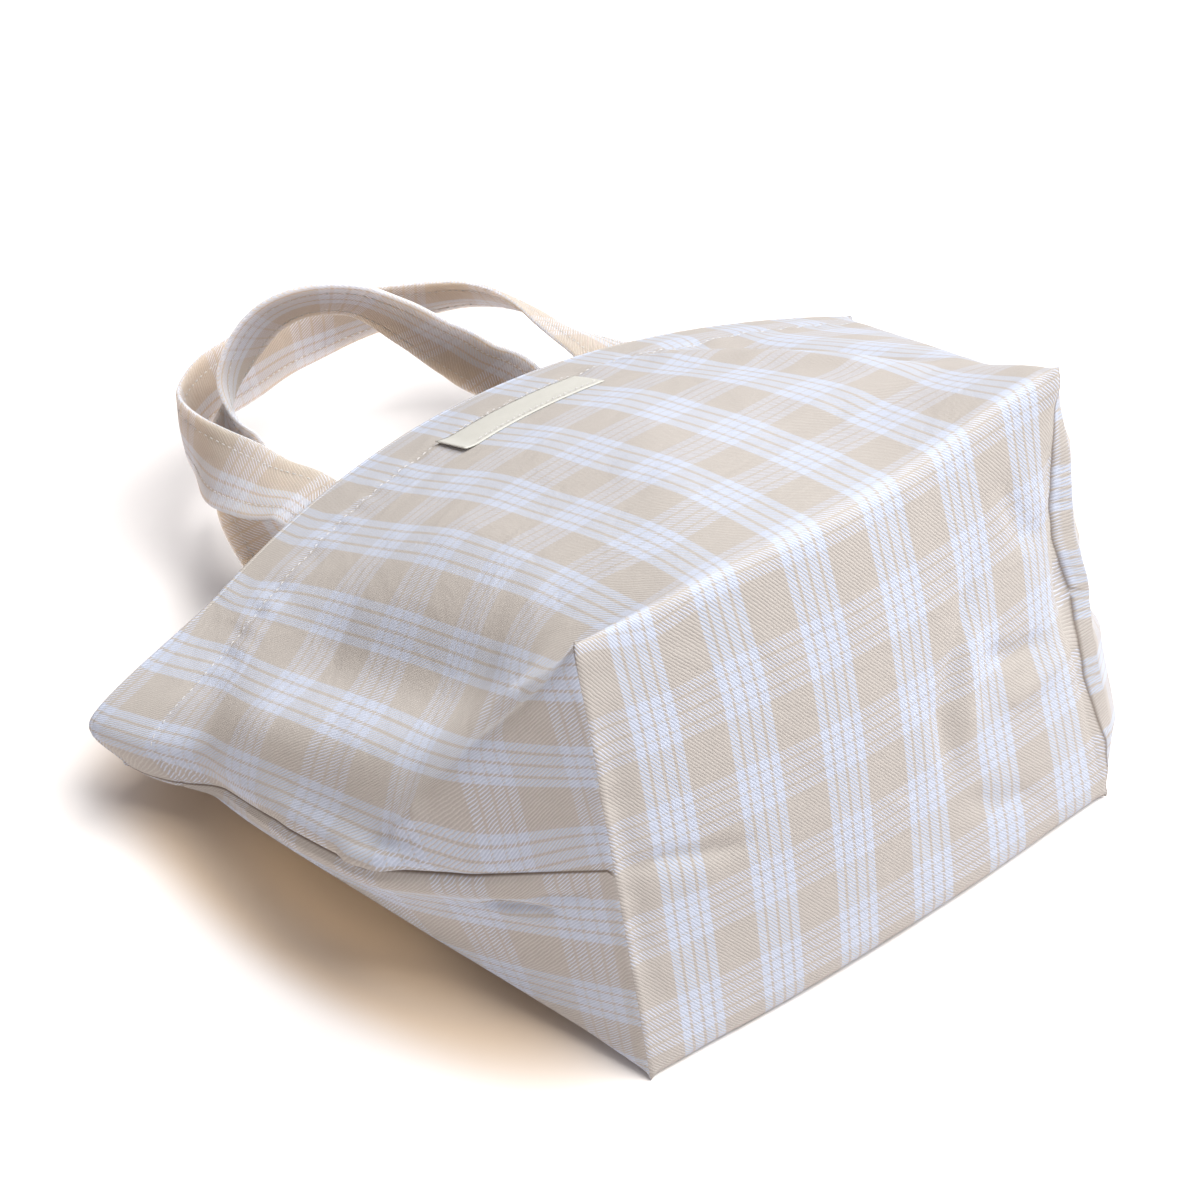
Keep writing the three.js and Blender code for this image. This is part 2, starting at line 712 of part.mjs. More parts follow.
const bag = new THREE.Group();
bag.add(piece('body_cloth', bodyCloth(), CLOTH_COLOUR));
bag.add(piece('mouth_hem', mouthHem(), CLOTH_COLOUR));
bag.add(piece('left_side_seam', sideSeam(0), CLOTH_COLOUR));
bag.add(piece('right_side_seam', sideSeam(panelColumns), CLOTH_COLOUR));
bag.add(piece('left_corner_seam', cornerSeam(0), CLOTH_COLOUR));
bag.add(piece('right_corner_seam', cornerSeam(PANEL_STEPS), CLOTH_COLOUR));
bag.add(piece('hem_stitching', hemStitching(), WHITE_COLOUR));
bag.add(piece('woven_label', wovenLabel(), LABEL_COLOUR));
bag.add(piece('label_stitching', labelStitching(), WHITE_COLOUR));
for (const [handle, isFront] of [['front_handle', true], ['rear_handle', false]]) {
  bag.add(piece(handle, alongRoute(isFront, strapSection()), CLOTH_COLOUR));
  for (const [edge, side] of [['outer', 1], ['inner', -1]]) {
    bag.add(piece(`${handle}_${edge}_stitching`, alongRoute(isFront, stitchSection(side)), WHITE_COLOUR));
  }
  for (const [end, side] of [['left', -1], ['right', 1]]) {
    bag.add(piece(`${handle}_${end}_end`, strapEnd(isFront, side), CLOTH_COLOUR));
  }
}

export default bag;
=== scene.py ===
# %% [markdown]
# # A small checked tote bag, lying on its back
#
# The real bag is one length of soft cotton twill, folded up over the base and sewn shut along its two sides,
# with the corners boxed so that it can stand. Two folded straps of the same cloth hang from the mouth.
# Here it lies on its back with the base towards us. Each piece below stands for one thing that a sewer would
# cut or stitch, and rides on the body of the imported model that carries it.

import math

import bpy
import numpy as np
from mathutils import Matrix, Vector


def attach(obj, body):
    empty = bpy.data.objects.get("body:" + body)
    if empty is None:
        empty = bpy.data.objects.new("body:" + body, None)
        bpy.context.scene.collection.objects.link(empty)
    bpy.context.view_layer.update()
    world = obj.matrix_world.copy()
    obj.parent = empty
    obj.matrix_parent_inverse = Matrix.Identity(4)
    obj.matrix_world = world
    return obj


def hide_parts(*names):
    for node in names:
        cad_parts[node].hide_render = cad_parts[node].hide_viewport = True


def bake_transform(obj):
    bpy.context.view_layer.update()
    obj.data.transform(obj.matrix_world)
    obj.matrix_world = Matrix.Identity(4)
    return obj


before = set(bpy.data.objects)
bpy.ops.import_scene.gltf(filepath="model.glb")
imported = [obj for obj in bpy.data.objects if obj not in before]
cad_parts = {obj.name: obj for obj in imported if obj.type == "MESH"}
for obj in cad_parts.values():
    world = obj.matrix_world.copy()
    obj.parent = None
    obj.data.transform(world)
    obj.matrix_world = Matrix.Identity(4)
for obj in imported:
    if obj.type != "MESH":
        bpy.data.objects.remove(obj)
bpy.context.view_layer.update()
bpy.ops.object.select_all(action="DESELECT")
MM = 0.001

# %% [markdown]
# ## Light, floor and camera
#
# The bag was lit by a broad soft light from the right on a white table. The table is so bright that it goes
# pure white wherever the light reaches it, and only the shadow on the left keeps a warm brown tone.
# So the floor is nearly neutral, with an oval of painted warm shade, lighter at its middle, where the slack
# left end of the bag shades it.


# %% Small helpers for nodes
def feed(tree, socket, value):
    if isinstance(value, bpy.types.NodeSocket):
        tree.links.new(value, socket)
    else:
        socket.default_value = value


def add_node(tree, kind, **inputs):
    """A node with its inputs set or linked. An input is named, or numbered as i0, i1 and so on."""
    node = tree.nodes.new(kind)
    for name, value in inputs.items():
        feed(tree, node.inputs[int(name[1:]) if name.startswith("i") else name], value)
    return node


def sums(tree, operation, *values):
    node = tree.nodes.new("ShaderNodeMath")
    node.operation = operation
    for socket, value in zip(node.inputs, values):
        feed(tree, socket, value)
    return node.outputs[0]


def soft_step(tree, value, low, high):
    node = add_node(tree, "ShaderNodeMapRange", Value=value)
    node.interpolation_type = "SMOOTHSTEP"
    node.inputs["From Min"].default_value = low
    node.inputs["From Max"].default_value = high
    return node.outputs["Result"]


def mixed(tree, share, first, second, blend="MIX"):
    node = tree.nodes.new("ShaderNodeMix")
    node.data_type = "RGBA"
    node.blend_type = blend
    for number, value in ((0, share), (6, first), (7, second)):
        feed(tree, node.inputs[number], value)
    return node.outputs[2]


# %% Floor
FLOOR_SIZE = 6.0
FLOOR_LEVEL = -0.0004
TABLE_WHITE = (0.92, 0.87, 0.85)
# Painted warm shade on the floor by the bag's left end, seen by the camera only: darker, then lighter again
# at its middle.
SHADE_CENTRE = (-0.119, 0.016, 0)
SHADE_TURN = (0, 0, math.radians(12))
SHADE_REACH = (0.050, 0.150, 1)
SHADE_TONES = [
    (0.0, (0.69, 0.662, 0.645)), (0.2, (0.69, 0.655, 0.63)),
    (0.55, (0.59, 0.465, 0.345)), (0.88, (0.97, 0.72, 0.455)),
]


def plain_material(name, colour, roughness):
    material = bpy.data.materials.new(name)
    material.use_nodes = True
    shader = material.node_tree.nodes["Principled BSDF"]
    shader.inputs["Base Color"].default_value = (*colour, 1)
    shader.inputs["Roughness"].default_value = roughness
    return material


def table_material():
    """Plain white for the light that bounces, and with an oval of painted warm shade for the camera."""
    material = plain_material("white table", TABLE_WHITE, 0.9)
    tree = material.node_tree
    place = tree.nodes.new("ShaderNodeNewGeometry").outputs["Position"]
    oval = add_node(
        tree, "ShaderNodeMapping", Vector=place, Location=SHADE_CENTRE, Rotation=SHADE_TURN, Scale=SHADE_REACH
    )
    oval.vector_type = "TEXTURE"
    fade = add_node(tree, "ShaderNodeTexGradient", Vector=oval.outputs["Vector"])
    fade.gradient_type = "SPHERICAL"
    ramp = add_node(tree, "ShaderNodeValToRGB", Fac=fade.outputs["Fac"])
    ramp.color_ramp.interpolation = "EASE"
    for stop, _ in SHADE_TONES[1:-1]:
        ramp.color_ramp.elements.new(stop)
    for element, (stop, tone) in zip(ramp.color_ramp.elements, SHADE_TONES):
        element.position = stop
        element.color = (*tone, 1)
    camera_ray = tree.nodes.new("ShaderNodeLightPath").outputs["Is Camera Ray"]
    seen = mixed(tree, camera_ray, (*TABLE_WHITE, 1), ramp.outputs["Color"])
    tree.links.new(seen, tree.nodes["Principled BSDF"].inputs["Base Color"])
    return material


bpy.ops.mesh.primitive_plane_add(size=FLOOR_SIZE, location=(0, 0, FLOOR_LEVEL))
floor = bpy.context.object
floor.name = "table_top"
floor.data.materials.append(table_material())
print("floor", FLOOR_SIZE, "metres across")


# %% Lights
def soft_box(name, place, target, size, watts, colour):
    light = bpy.data.lights.new(name, "AREA")
    light.shape = "SQUARE"
    light.size = size
    light.energy = watts
    light.color = colour
    lamp = bpy.data.objects.new(name, light)
    lamp.location = place
    lamp.rotation_euler = (Vector(target) - Vector(place)).to_track_quat("-Z", "Y").to_euler()
    bpy.context.collection.objects.link(lamp)


soft_box(
    "big_window", place=(0.60, -0.44, 1.80), target=(0, 0, 0.05), size=1.5, watts=92, colour=(1.0, 0.99, 0.97)
)
soft_box(
    "left_bounce", place=(-0.70, 0.32, 0.08), target=(-0.10, 0.12, 0.08), size=0.5, watts=0.8,
    colour=(1.0, 0.84, 0.70),
)

# %% Light from the room, warmer on the side away from the window
WINDOW_WAY = (0.45, -0.35, 0.75)
ROOM_SHADE = (0.40, 0.30, 0.225, 1)
ROOM_LIGHT = (0.50, 0.525, 0.60, 1)
world = bpy.data.worlds.new("white studio")
bpy.context.scene.world = world
world.use_nodes = True
sky = world.node_tree
sky.nodes.clear()
tilt = sky.nodes.new("ShaderNodeVectorMath")
tilt.operation = "DOT_PRODUCT"
tilt.inputs[1].default_value = WINDOW_WAY
sky.links.new(sky.nodes.new("ShaderNodeTexCoord").outputs["Generated"], tilt.inputs[0])
room = mixed(sky, soft_step(sky, tilt.outputs["Value"], -0.2, 0.45), ROOM_SHADE, ROOM_LIGHT)
felt = add_node(sky, "ShaderNodeBackground", Color=room).outputs["Background"]
seen = add_node(sky, "ShaderNodeBackground", Color=(1, 1, 1, 1)).outputs["Background"]
camera_ray = sky.nodes.new("ShaderNodeLightPath").outputs["Is Camera Ray"]
choose = add_node(sky, "ShaderNodeMixShader", Fac=camera_ray, i1=felt, i2=seen)
add_node(sky, "ShaderNodeOutputWorld", Surface=choose.outputs["Shader"])
print("lights", len(bpy.data.lights), "and a room of", len(sky.nodes), "nodes")

# %% Camera
CAMERA_PLACE = Vector((-0.4329, -0.5261, 0.7472))
CAMERA_TARGET = Vector((-0.0806, -0.062, 0.1665))
camera_data = bpy.data.cameras.new("camera")
camera_data.lens = 96
camera_data.sensor_width = 36
camera = bpy.data.objects.new("camera", camera_data)
camera.location = CAMERA_PLACE
camera.rotation_euler = (CAMERA_TARGET - CAMERA_PLACE).to_track_quat("-Z", "Y").to_euler()
bpy.context.collection.objects.link(camera)
bpy.context.scene.camera = camera
bpy.context.scene.view_settings.view_transform = "Standard"
print("camera at", CAMERA_PLACE[:])

# %% [markdown]
# ## The cloth's own colours, with painted shade of its twill ribs
#
# A check is made on the loom: white and tan threads are set up in the same order both ways, and where white
# crosses white the cloth is brightest. In a twill the warp lies on top for most of each step, so the
# stripes along the cloth are bold and those across it faint. The node group does the same sum: it asks
# which thread is on top at a point, then what colour that thread has. The weft's colours are set lighter
# than the warp's, which paints the shade of the twill ribs as slant lines. It reads the flat cloth's own
# millimetres from the UV map, so the check bends with the cloth.

# %% The woven check as a node group
WARP_PITCH = 28.05
WARP_MIDDLE = 17.6
WARP_HALF = 7.0
WARP_LINE = 3.9
WEFT_PITCH = 33.8
WEFT_MIDDLE = -2.9
WEFT_HALF = 8.2
WEFT_LINE = 4.55
TWILL_ACROSS = 0.93
TWILL_ALONG = 0.70
TWILL_WANDER = 0.7
TONE_START = 0.90
SLUB_TONE = 0.16
BLOTCH_TONE = 0.04
RIB_HEIGHT = 0.00012
FLUFF_HEIGHT = 0.0001
CRUMPLE_HEIGHT = 0.0012
# Thread colours; the weft's are set lighter than the warp's as painted shade of the twill ribs.
TAN_WARP_AND_RIB_SHADE = (0.309, 0.284, 0.259, 1)
TAN_WEFT_AND_RIB_SHADE = (0.363, 0.335, 0.308, 1)
WHITE_WARP_AND_RIB_SHADE = (0.341, 0.372, 0.441, 1)
WHITE_WEFT_AND_RIB_SHADE = (0.411, 0.435, 0.514, 1)


def stripes(tree, place, middle, pitch, half, line_pitch):
    """White where a broad stripe runs, apart from its three thin lines."""
    shifted = sums(tree, "SUBTRACT", place, middle)
    local = sums(tree, "WRAP", shifted, pitch / 2, -pitch / 2)
    away = sums(tree, "ABSOLUTE", local)
    band = soft_step(tree, away, half + 0.25, half - 0.25)
    step = sums(tree, "WRAP", local, line_pitch / 2, -line_pitch / 2)
    line = soft_step(tree, sums(tree, "ABSOLUTE", step), 0.25, 0.7)
    return sums(tree, "MULTIPLY", band, line)


check = bpy.data.node_groups.new("woven check", "ShaderNodeTree")
sockets = [("Cloth", "INPUT", "Vector"), ("Color", "OUTPUT", "Color"), ("Height", "OUTPUT", "Float")]
for name, way, kind in sockets:
    check.interface.new_socket(name, in_out=way, socket_type="NodeSocket" + kind)
entry = check.nodes.new("NodeGroupInput").outputs["Cloth"]
result = check.nodes.new("NodeGroupOutput")


def uneven(scale, detail, twist=0.0):
    node = add_node(check, "ShaderNodeTexNoise", Vector=entry, Scale=scale, Detail=detail, Distortion=twist)
    return node.outputs["Fac"]


parts = add_node(check, "ShaderNodeSeparateXYZ", Vector=entry)
across, along = parts.outputs["X"], parts.outputs["Y"]
white_warp = stripes(check, across, WARP_MIDDLE, WARP_PITCH, WARP_HALF, WARP_LINE)
white_weft = stripes(check, along, WEFT_MIDDLE, WEFT_PITCH, WEFT_HALF, WEFT_LINE)
steps = sums(check, "MULTIPLY", across, TWILL_ACROSS)
steps = sums(check, "MULTIPLY_ADD", along, TWILL_ALONG, steps)
steps = sums(check, "MULTIPLY_ADD", uneven(0.35, 2.0), TWILL_WANDER, steps)
phase = sums(check, "PINGPONG", steps, 0.5)
warp_top = soft_step(check, phase, 0.08, 0.24)
warp_colour_and_rib_shade = mixed(check, white_warp, TAN_WARP_AND_RIB_SHADE, WHITE_WARP_AND_RIB_SHADE)
weft_colour_and_rib_shade = mixed(check, white_weft, TAN_WEFT_AND_RIB_SHADE, WHITE_WEFT_AND_RIB_SHADE)
colour = mixed(check, warp_top, weft_colour_and_rib_shade, warp_colour_and_rib_shade)
slub = uneven(1.7, 3.0)
tone = sums(check, "MULTIPLY_ADD", slub, SLUB_TONE, TONE_START)
tone = sums(check, "MULTIPLY_ADD", uneven(0.03, 2.0), BLOTCH_TONE, tone)
grey = add_node(check, "ShaderNodeCombineColor", i0=tone, i1=tone, i2=tone)
colour = mixed(check, 1.0, colour, grey.outputs["Color"], "MULTIPLY")
height = sums(check, "MULTIPLY", soft_step(check, phase, 0.0, 0.4), RIB_HEIGHT)
height = sums(check, "MULTIPLY_ADD", slub, FLUFF_HEIGHT, height)
height = sums(check, "MULTIPLY_ADD", uneven(0.055, 3.0, 0.7), CRUMPLE_HEIGHT, height)
check.links.new(colour, result.inputs["Color"])
check.links.new(height, result.inputs["Height"])

# %% The check as a material
# Painted shade: the cloth is mixed towards this dark brown in the valleys along the seams.
SEAM_SHADE = (0.11, 0.085, 0.068, 1)
CLOTH_LOOK = {
    "Roughness": 0.9, "Specular IOR Level": 0.15, "Sheen Weight": 0.08, "Sheen Roughness": 0.5,
    "Subsurface Radius": (1.0, 0.86, 0.74), "Subsurface Scale": 0.014,
}


def cloth_material(name, tint, glow=0.0):
    """Checked cloth. Glow is the share of light that comes through thick layers, warmer than it went in."""
    material = bpy.data.materials.new(name)
    material.use_nodes = True
    tree = material.node_tree
    shader = tree.nodes["Principled BSDF"]
    for look, value in {**CLOTH_LOOK, "Subsurface Weight": glow}.items():
        shader.inputs[look].default_value = value
    flat = tree.nodes.new("ShaderNodeUVMap")
    flat.uv_map = "cloth"
    weave = tree.nodes.new("ShaderNodeGroup")
    weave.node_tree = check
    tree.links.new(flat.outputs["UV"], weave.inputs["Cloth"])
    bump = add_node(tree, "ShaderNodeBump", Strength=0.8, Distance=1.0, Height=weave.outputs["Height"])
    toned = mixed(tree, 1.0, weave.outputs["Color"], (*tint, 1), "MULTIPLY")
    # A mesh attribute says where the painted seam shade is mixed in.
    near_seam = tree.nodes.new("ShaderNodeAttribute")
    near_seam.attribute_name = "near_seam"
    valley = soft_step(tree, near_seam.outputs["Fac"], 0.72, 0.97)
    tree.links.new(mixed(tree, valley, toned, SEAM_SHADE), shader.inputs["Base Color"])
    tree.links.new(bump.outputs["Normal"], shader.inputs["Normal"])
    return material


checked_cloth = cloth_material("checked twill", (1, 1, 1))
# The straps get a warmer, darker copy of the cloth: the tint is painted warm shade, the glow is light through
# the layers.
strap_cloth = cloth_material("checked twill of the straps", (0.98, 0.93, 0.87), 0.9)
print("cloth material", len(check.nodes), "nodes in the weave")

# %% [markdown]
# ## The shape of the lying bag
#
# A bag like this is a lofted shell that sags. Every point of the flat cloth has a place across it and a
# height up from the base, and a few measured lines say where it goes: the leaning base, the middle line of
# the front, the two corner folds and the side seams. Between those lines the cloth hangs in arches. The left
# end is slack and has fallen in, the right end is pulled tight.

# %% Measures of the bag in millimetres
BASE_WIDTH = 172.0
BASE_DEPTH = 155.0
PANEL_HEIGHT = 196.0
HALF_WIDTH = BASE_WIDTH / 2
HALF_GIRTH = (BASE_WIDTH + BASE_DEPTH) / 2
BASE_LEAN = math.radians(13.4)
BASE_BULGE = 5.0
CORNER_SET_BACK = 4.5
FRONT_SLOPE = math.radians(25.1)
FRONT_CROWN = 6.0
REST_SHARE = 0.38
MOUTH_LIFT = 4.0
MOUTH_LIFT_LENGTH = 70.0
HEM_LINE = 174.0
ENDS = {
    -1: {"height": 73.5, "angle": 51.0, "spread": 9.1, "drop": 17.1, "sag": 6.0, "arch": (2.0, 3.4, 3.2)},
    1: {"height": PANEL_HEIGHT, "angle": 69.6, "spread": 0, "drop": 0, "sag": 0, "arch": (2.0, 2.2, 2.2)},
}
base_low = np.array([0, -PANEL_HEIGHT / 2, 0])
base_up = np.array([0, math.sin(BASE_LEAN), math.cos(BASE_LEAN)])
base_inward = np.array([0, math.cos(BASE_LEAN), -math.sin(BASE_LEAN)])
base_high = base_low + base_up * BASE_DEPTH


def between(first, second, share):
    return first + (second - first) * share


def unit(ways):
    return ways / np.linalg.norm(ways, axis=-1, keepdims=True)


def corner_points(side):
    end = ENDS[side]
    set_back = np.array([side * HALF_WIDTH, CORNER_SET_BACK, 0])
    low = base_low + set_back
    high = base_high + set_back
    middle = (low + high) / 2
    angle = math.radians(end["angle"])
    fold = middle + np.array([side * math.cos(angle) * end["height"], 0, 0])
    fold = fold + base_inward * math.sin(angle) * end["height"]
    spread = math.sin(math.radians(end["spread"]))
    drop = math.sin(math.radians(end["drop"]))
    ahead = np.array([side * spread, math.sqrt(1 - spread**2 - drop**2), -drop])
    tip = fold + ahead * (PANEL_HEIGHT - end["height"])
    return {**end, "low": low, "high": high, "middle": middle, "fold": fold, "tip": tip}


corners = {side: corner_points(side) for side in ENDS}
print("left tip", corners[-1]["tip"].round(1), "right tip", corners[1]["tip"].round(1))


# %% Where a point of the flat cloth goes
def front_middle(height):
    crown = FRONT_CROWN * math.sin(math.pi * height / PANEL_HEIGHT)
    run = height * math.cos(FRONT_SLOPE)
    return np.array([0, base_high[1] + run, base_high[2] - height * math.sin(FRONT_SLOPE) + crown])


def back_middle(height):
    share = max(0.0, 1 - (PANEL_HEIGHT - height) / MOUTH_LIFT_LENGTH)
    return np.array([0, base_low[1] + height, MOUTH_LIFT * share**2])


def seam_point(side, height):
    end = corners[side]
    if height <= end["height"] or end["height"] == PANEL_HEIGHT:
        return between(end["middle"], end["fold"], height / end["height"])
    share = (height - end["height"]) / (PANEL_HEIGHT - end["height"])
    sag = np.array([0, 0, -4 * end["sag"] * share * (1 - share)])
    return between(end["fold"], end["tip"], share) + sag


def arch_power(is_front, side, height):
    if not is_front:
        return 2.0
    first, fold, mouth = corners[side]["arch"]
    top = corners[side]["height"]
    if height <= top:
        return between(first, fold, height / top)
    return between(fold, mouth, (height - top) / max(1.0, PANEL_HEIGHT - top))


ARCH_SAMPLES = np.linspace(0, 1, 65)


def panel_row(is_front, height, places):
    """Points of one row of the front or back, at the given places across it."""
    row = np.zeros((len(places), 3))
    middle = front_middle(height) if is_front else back_middle(height)
    for side in (-1, 1):
        end = corners[side]
        seam = seam_point(side, height)
        share = min(1.0, height / (end["height"] if is_front else PANEL_HEIGHT))
        crease = between(HALF_WIDTH, HALF_GIRTH, share)
        corner = end["high"] if is_front else end["low"]
        crease_end = end["fold"] if is_front else end["tip"]
        edge = between(corner, crease_end, share) if share < 1 else seam
        reach = edge - middle
        fall = math.hypot(reach[1], reach[2])
        flat = 0.0 if is_front or height == 0 else REST_SHARE
        power = arch_power(is_front, side, height)
        run = abs(reach[0]) * (1 - flat)
        lengths = np.hypot(run * np.diff(ARCH_SAMPLES), fall * np.diff(ARCH_SAMPLES**power))
        lengths = np.concatenate([[0], np.cumsum(lengths)])
        for i, place in enumerate(places):
            if (place < 0) != (side < 0):
                continue
            far = abs(place)
            if far >= crease:
                width = HALF_GIRTH - crease
                row[i] = between(edge, seam, (far - crease) / width if width > 0 else 0)
                continue
            length_share = far / crease
            bent = max(0.0, (length_share - flat) / (1 - flat))
            bent = np.interp(bent * lengths[-1], lengths, ARCH_SAMPLES)
            run_share = length_share if length_share < flat else flat + (1 - flat) * bent
            fall_share = 0.0 if length_share < flat else bent**power
            sweep = run_share**2 * (3 - 2 * run_share) if is_front else fall_share
            row[i] = middle + reach * np.array([run_share, sweep, fall_share])
    return row


# %% [markdown]
# ## The body of the bag
#
# The grid below has a thread of vertices every two millimetres. Front, base and back are three patches of
# one cloth, joined along the folds and the seams, so the shell closes everywhere apart from the mouth.

# %% Loft the patches
SIDE_COLUMNS = 39
MIDDLE_COLUMNS = 86
ROWS = 98
BASE_ROWS = 2 * SIDE_COLUMNS
columns = np.concatenate([
    np.linspace(-HALF_GIRTH, -HALF_WIDTH, SIDE_COLUMNS + 1)[:-1],
    np.linspace(-HALF_WIDTH, HALF_WIDTH, MIDDLE_COLUMNS + 1)[:-1],
    np.linspace(HALF_WIDTH, HALF_GIRTH, SIDE_COLUMNS + 1),
])
heights = np.linspace(0, PANEL_HEIGHT, ROWS + 1)
depths = np.linspace(0, BASE_DEPTH, BASE_ROWS + 1)
first_base = SIDE_COLUMNS
last_base = SIDE_COLUMNS + MIDDLE_COLUMNS

front_points = np.array([panel_row(True, h, columns) for h in heights])
back_points = np.array([panel_row(False, h, columns) for h in heights])
inner_columns = columns[first_base : last_base + 1]
upper_edge = front_points[0, first_base : last_base + 1]
lower_edge = back_points[0, first_base : last_base + 1]
base_points = np.array([between(upper_edge, lower_edge, d / BASE_DEPTH) for d in depths])
belly = np.sin(np.pi * depths / BASE_DEPTH)[:, None] * (1 - (inner_columns / HALF_WIDTH) ** 2)[None, :]
base_points -= (BASE_BULGE * belly)[:, :, None] * base_inward

count = front_points.shape[0] * front_points.shape[1]
front_ids = np.arange(count).reshape(front_points.shape[:2])
base_ids = np.full(base_points.shape[:2], -1)
base_ids[0] = front_ids[0, first_base : last_base + 1]
base_ids[: SIDE_COLUMNS + 1, 0] = front_ids[0, first_base::-1][: SIDE_COLUMNS + 1]
base_ids[: SIDE_COLUMNS + 1, -1] = front_ids[0, last_base:]
fresh = base_ids < 0
base_ids[fresh] = count + np.arange(fresh.sum())
count += fresh.sum()
back_ids = np.full(back_points.shape[:2], -1)
back_ids[:, 0] = front_ids[:, 0]
back_ids[:, -1] = front_ids[:, -1]
back_ids[0, first_base : last_base + 1] = base_ids[-1]
back_ids[0, : first_base + 1] = base_ids[SIDE_COLUMNS:, 0]
back_ids[0, last_base:] = base_ids[SIDE_COLUMNS:, -1][::-1]
fresh = back_ids < 0
back_ids[fresh] = count + np.arange(fresh.sum())
count += fresh.sum()

points = np.zeros((count, 3))
points[back_ids] = back_points
points[base_ids] = base_points
points[front_ids] = front_points


def patch_quads(ids, flip):
    quads = np.stack([ids[:-1, :-1], ids[:-1, 1:], ids[1:, 1:], ids[1:, :-1]], axis=-1).reshape(-1, 4)
    return quads[:, ::-1] if flip else quads


def sheet_quads(rows, columns, flip=False):
    return patch_quads(np.arange(rows * columns).reshape(rows, columns), flip)


def flat_places(places, levels):
    return np.stack(np.meshgrid(places, levels), axis=-1)


def patch_flat(places, levels):
    return flat_places(places, levels).reshape(-1, 2)[sheet_quads(len(levels), len(places))]


quads = np.concatenate(
    [patch_quads(front_ids, False), patch_quads(base_ids, True), patch_quads(back_ids, True)]
)
flat_base = patch_flat(inner_columns, -depths)[:, ::-1]
flat_back = patch_flat(columns, -BASE_DEPTH - heights)[:, ::-1]
flats = np.concatenate([patch_flat(columns, heights), flat_base, flat_back])
print("cloth shell", len(points), "vertices", len(quads), "faces")

# %% Round the folds
LEFT_SEAM_GIVE = 0.25
RIGHT_SEAM_GIVE = 0.08
BASE_END_GIVE = 0.1
SMOOTH_ROUNDS = 16
edges = np.stack([quads, np.roll(quads, 1, axis=1)], axis=-1).reshape(-1, 2)
pairs = np.unique(np.sort(edges, axis=1), axis=0)
neighbours = np.bincount(pairs.ravel(), minlength=count)


def smooth(points, give, rounds):
    for _ in range(rounds):
        total = np.zeros_like(points)
        np.add.at(total, pairs[:, 0], points[pairs[:, 1]])
        np.add.at(total, pairs[:, 1], points[pairs[:, 0]])
        points = points + (total / neighbours[:, None] - points) * (0.5 * give)[:, None]
    return points


give = np.ones(count)
give[front_ids[:, 0]] = LEFT_SEAM_GIVE
give[front_ids[:, -1]] = RIGHT_SEAM_GIVE
give[base_ids[:, [0, -1]]] = BASE_END_GIVE
give[front_ids[-1]] = 0
give[back_ids[-1]] = 0
points = smooth(points, give, SMOOTH_ROUNDS)
print("smoothed", SMOOTH_ROUNDS, "times, held at the mouth and the seams")

# %% [markdown]
# ## Sculpting the lie of the cloth
#
# Two brushes are enough. One grabs the cloth round a place and carries it along, with less and less effect
# further out. The other draws a line on the cloth and raises or sinks it there, for creases,
# puckers and the soft bulges beside a tight seam.


# %% Two brushes
def grab(points, place, reach, move):
    far = np.linalg.norm(points - place, axis=1) / reach
    hold = np.clip(1 - far**2, 0, 1) ** 2
    return points + hold[:, None] * np.array(move)


def to_line(flat, knots):
    """Distance of every flat place from a drawn line, and how far along the line it lies."""
    knots = np.array(knots, dtype=float)
    nearest = np.full(flat.shape[:-1], np.inf)
    travelled = np.zeros(flat.shape[:-1])
    whole = np.linalg.norm(np.diff(knots, axis=0), axis=1)
    start = 0.0
    for first, second, length in zip(knots[:-1], knots[1:], whole):
        way = (second - first) / length
        along = np.clip((flat - first) @ way, 0, length)
        away = np.linalg.norm(flat - first - along[..., None] * way, axis=-1)
        closer = away < nearest
        nearest[closer] = away[closer]
        travelled[closer] = (start + along[closer]) / whole.sum()
        start += length
    return nearest, travelled


def crease(points, normals, patch, knots, width, height, ends=0.25):
    """Raise the cloth along a line by a height, or drag it by a vector, fading at the line's ends."""
    ids, flat = patch
    away, along = to_line(flat, knots)
    fade = np.clip(np.minimum(along, 1 - along) / ends, 0, 1) if ends > 0 else 1.0
    way = normals[ids] * height if np.ndim(height) == 0 else np.array(height, dtype=float)
    moved = points.copy()
    moved[ids] += way * (np.exp(-((away / width) ** 2)) * fade)[..., None]
    return moved


def outward_normals(points, quads):
    a, b, c, d = (points[quads[:, i]] for i in range(4))
    faces = np.cross(c - a, d - b)
    total = np.zeros_like(points)
    for i in range(4):
        np.add.at(total, quads[:, i], faces)
    return total / np.maximum(np.linalg.norm(total, axis=1, keepdims=True), 1e-9)


FRONT = (front_ids, flat_places(columns, heights))
BASE = (base_ids, flat_places(inner_columns, -depths))
BACK = (back_ids, flat_places(columns, heights))
BACK_INNER = (back_ids[:, 1:-1], BACK[1][:, 1:-1])
normals = outward_normals(points, quads)

# %% Corners and ends
CORNER_REACH = 26.0
CORNER_PULL = 0.9
LOOSE_CORNER_PULL = 0.2
LEFT_FOLD_COLUMN = 8
LEFT_FOLD_REACH = 40.0
LEFT_FOLD_AT_MOUTH = np.array([-155.5, 95.0, 36.5])
LEFT_SEAM_AT_MOUTH = np.array([-150.0, 88.0, 18.0])
LEFT_SEAM_SINK = (0.5, 0, -7)
RIGHT_CORNERS = [(0, 60, (0, 0, 6)), (-1, 85, (7.5, 0, 0.5))]
for side, column in ((-1, 0), (1, -1)):
    for name, row in (("high", 0), ("low", -1)):
        place = points[base_ids[row, column]].copy()
        pull = LOOSE_CORNER_PULL if (side, name) == (1, "high") else CORNER_PULL
        points = grab(points, place, CORNER_REACH, pull * (corners[side][name] - place))
seam_end = front_ids[-1, 0]
fold_end = front_ids[-1, LEFT_FOLD_COLUMN]
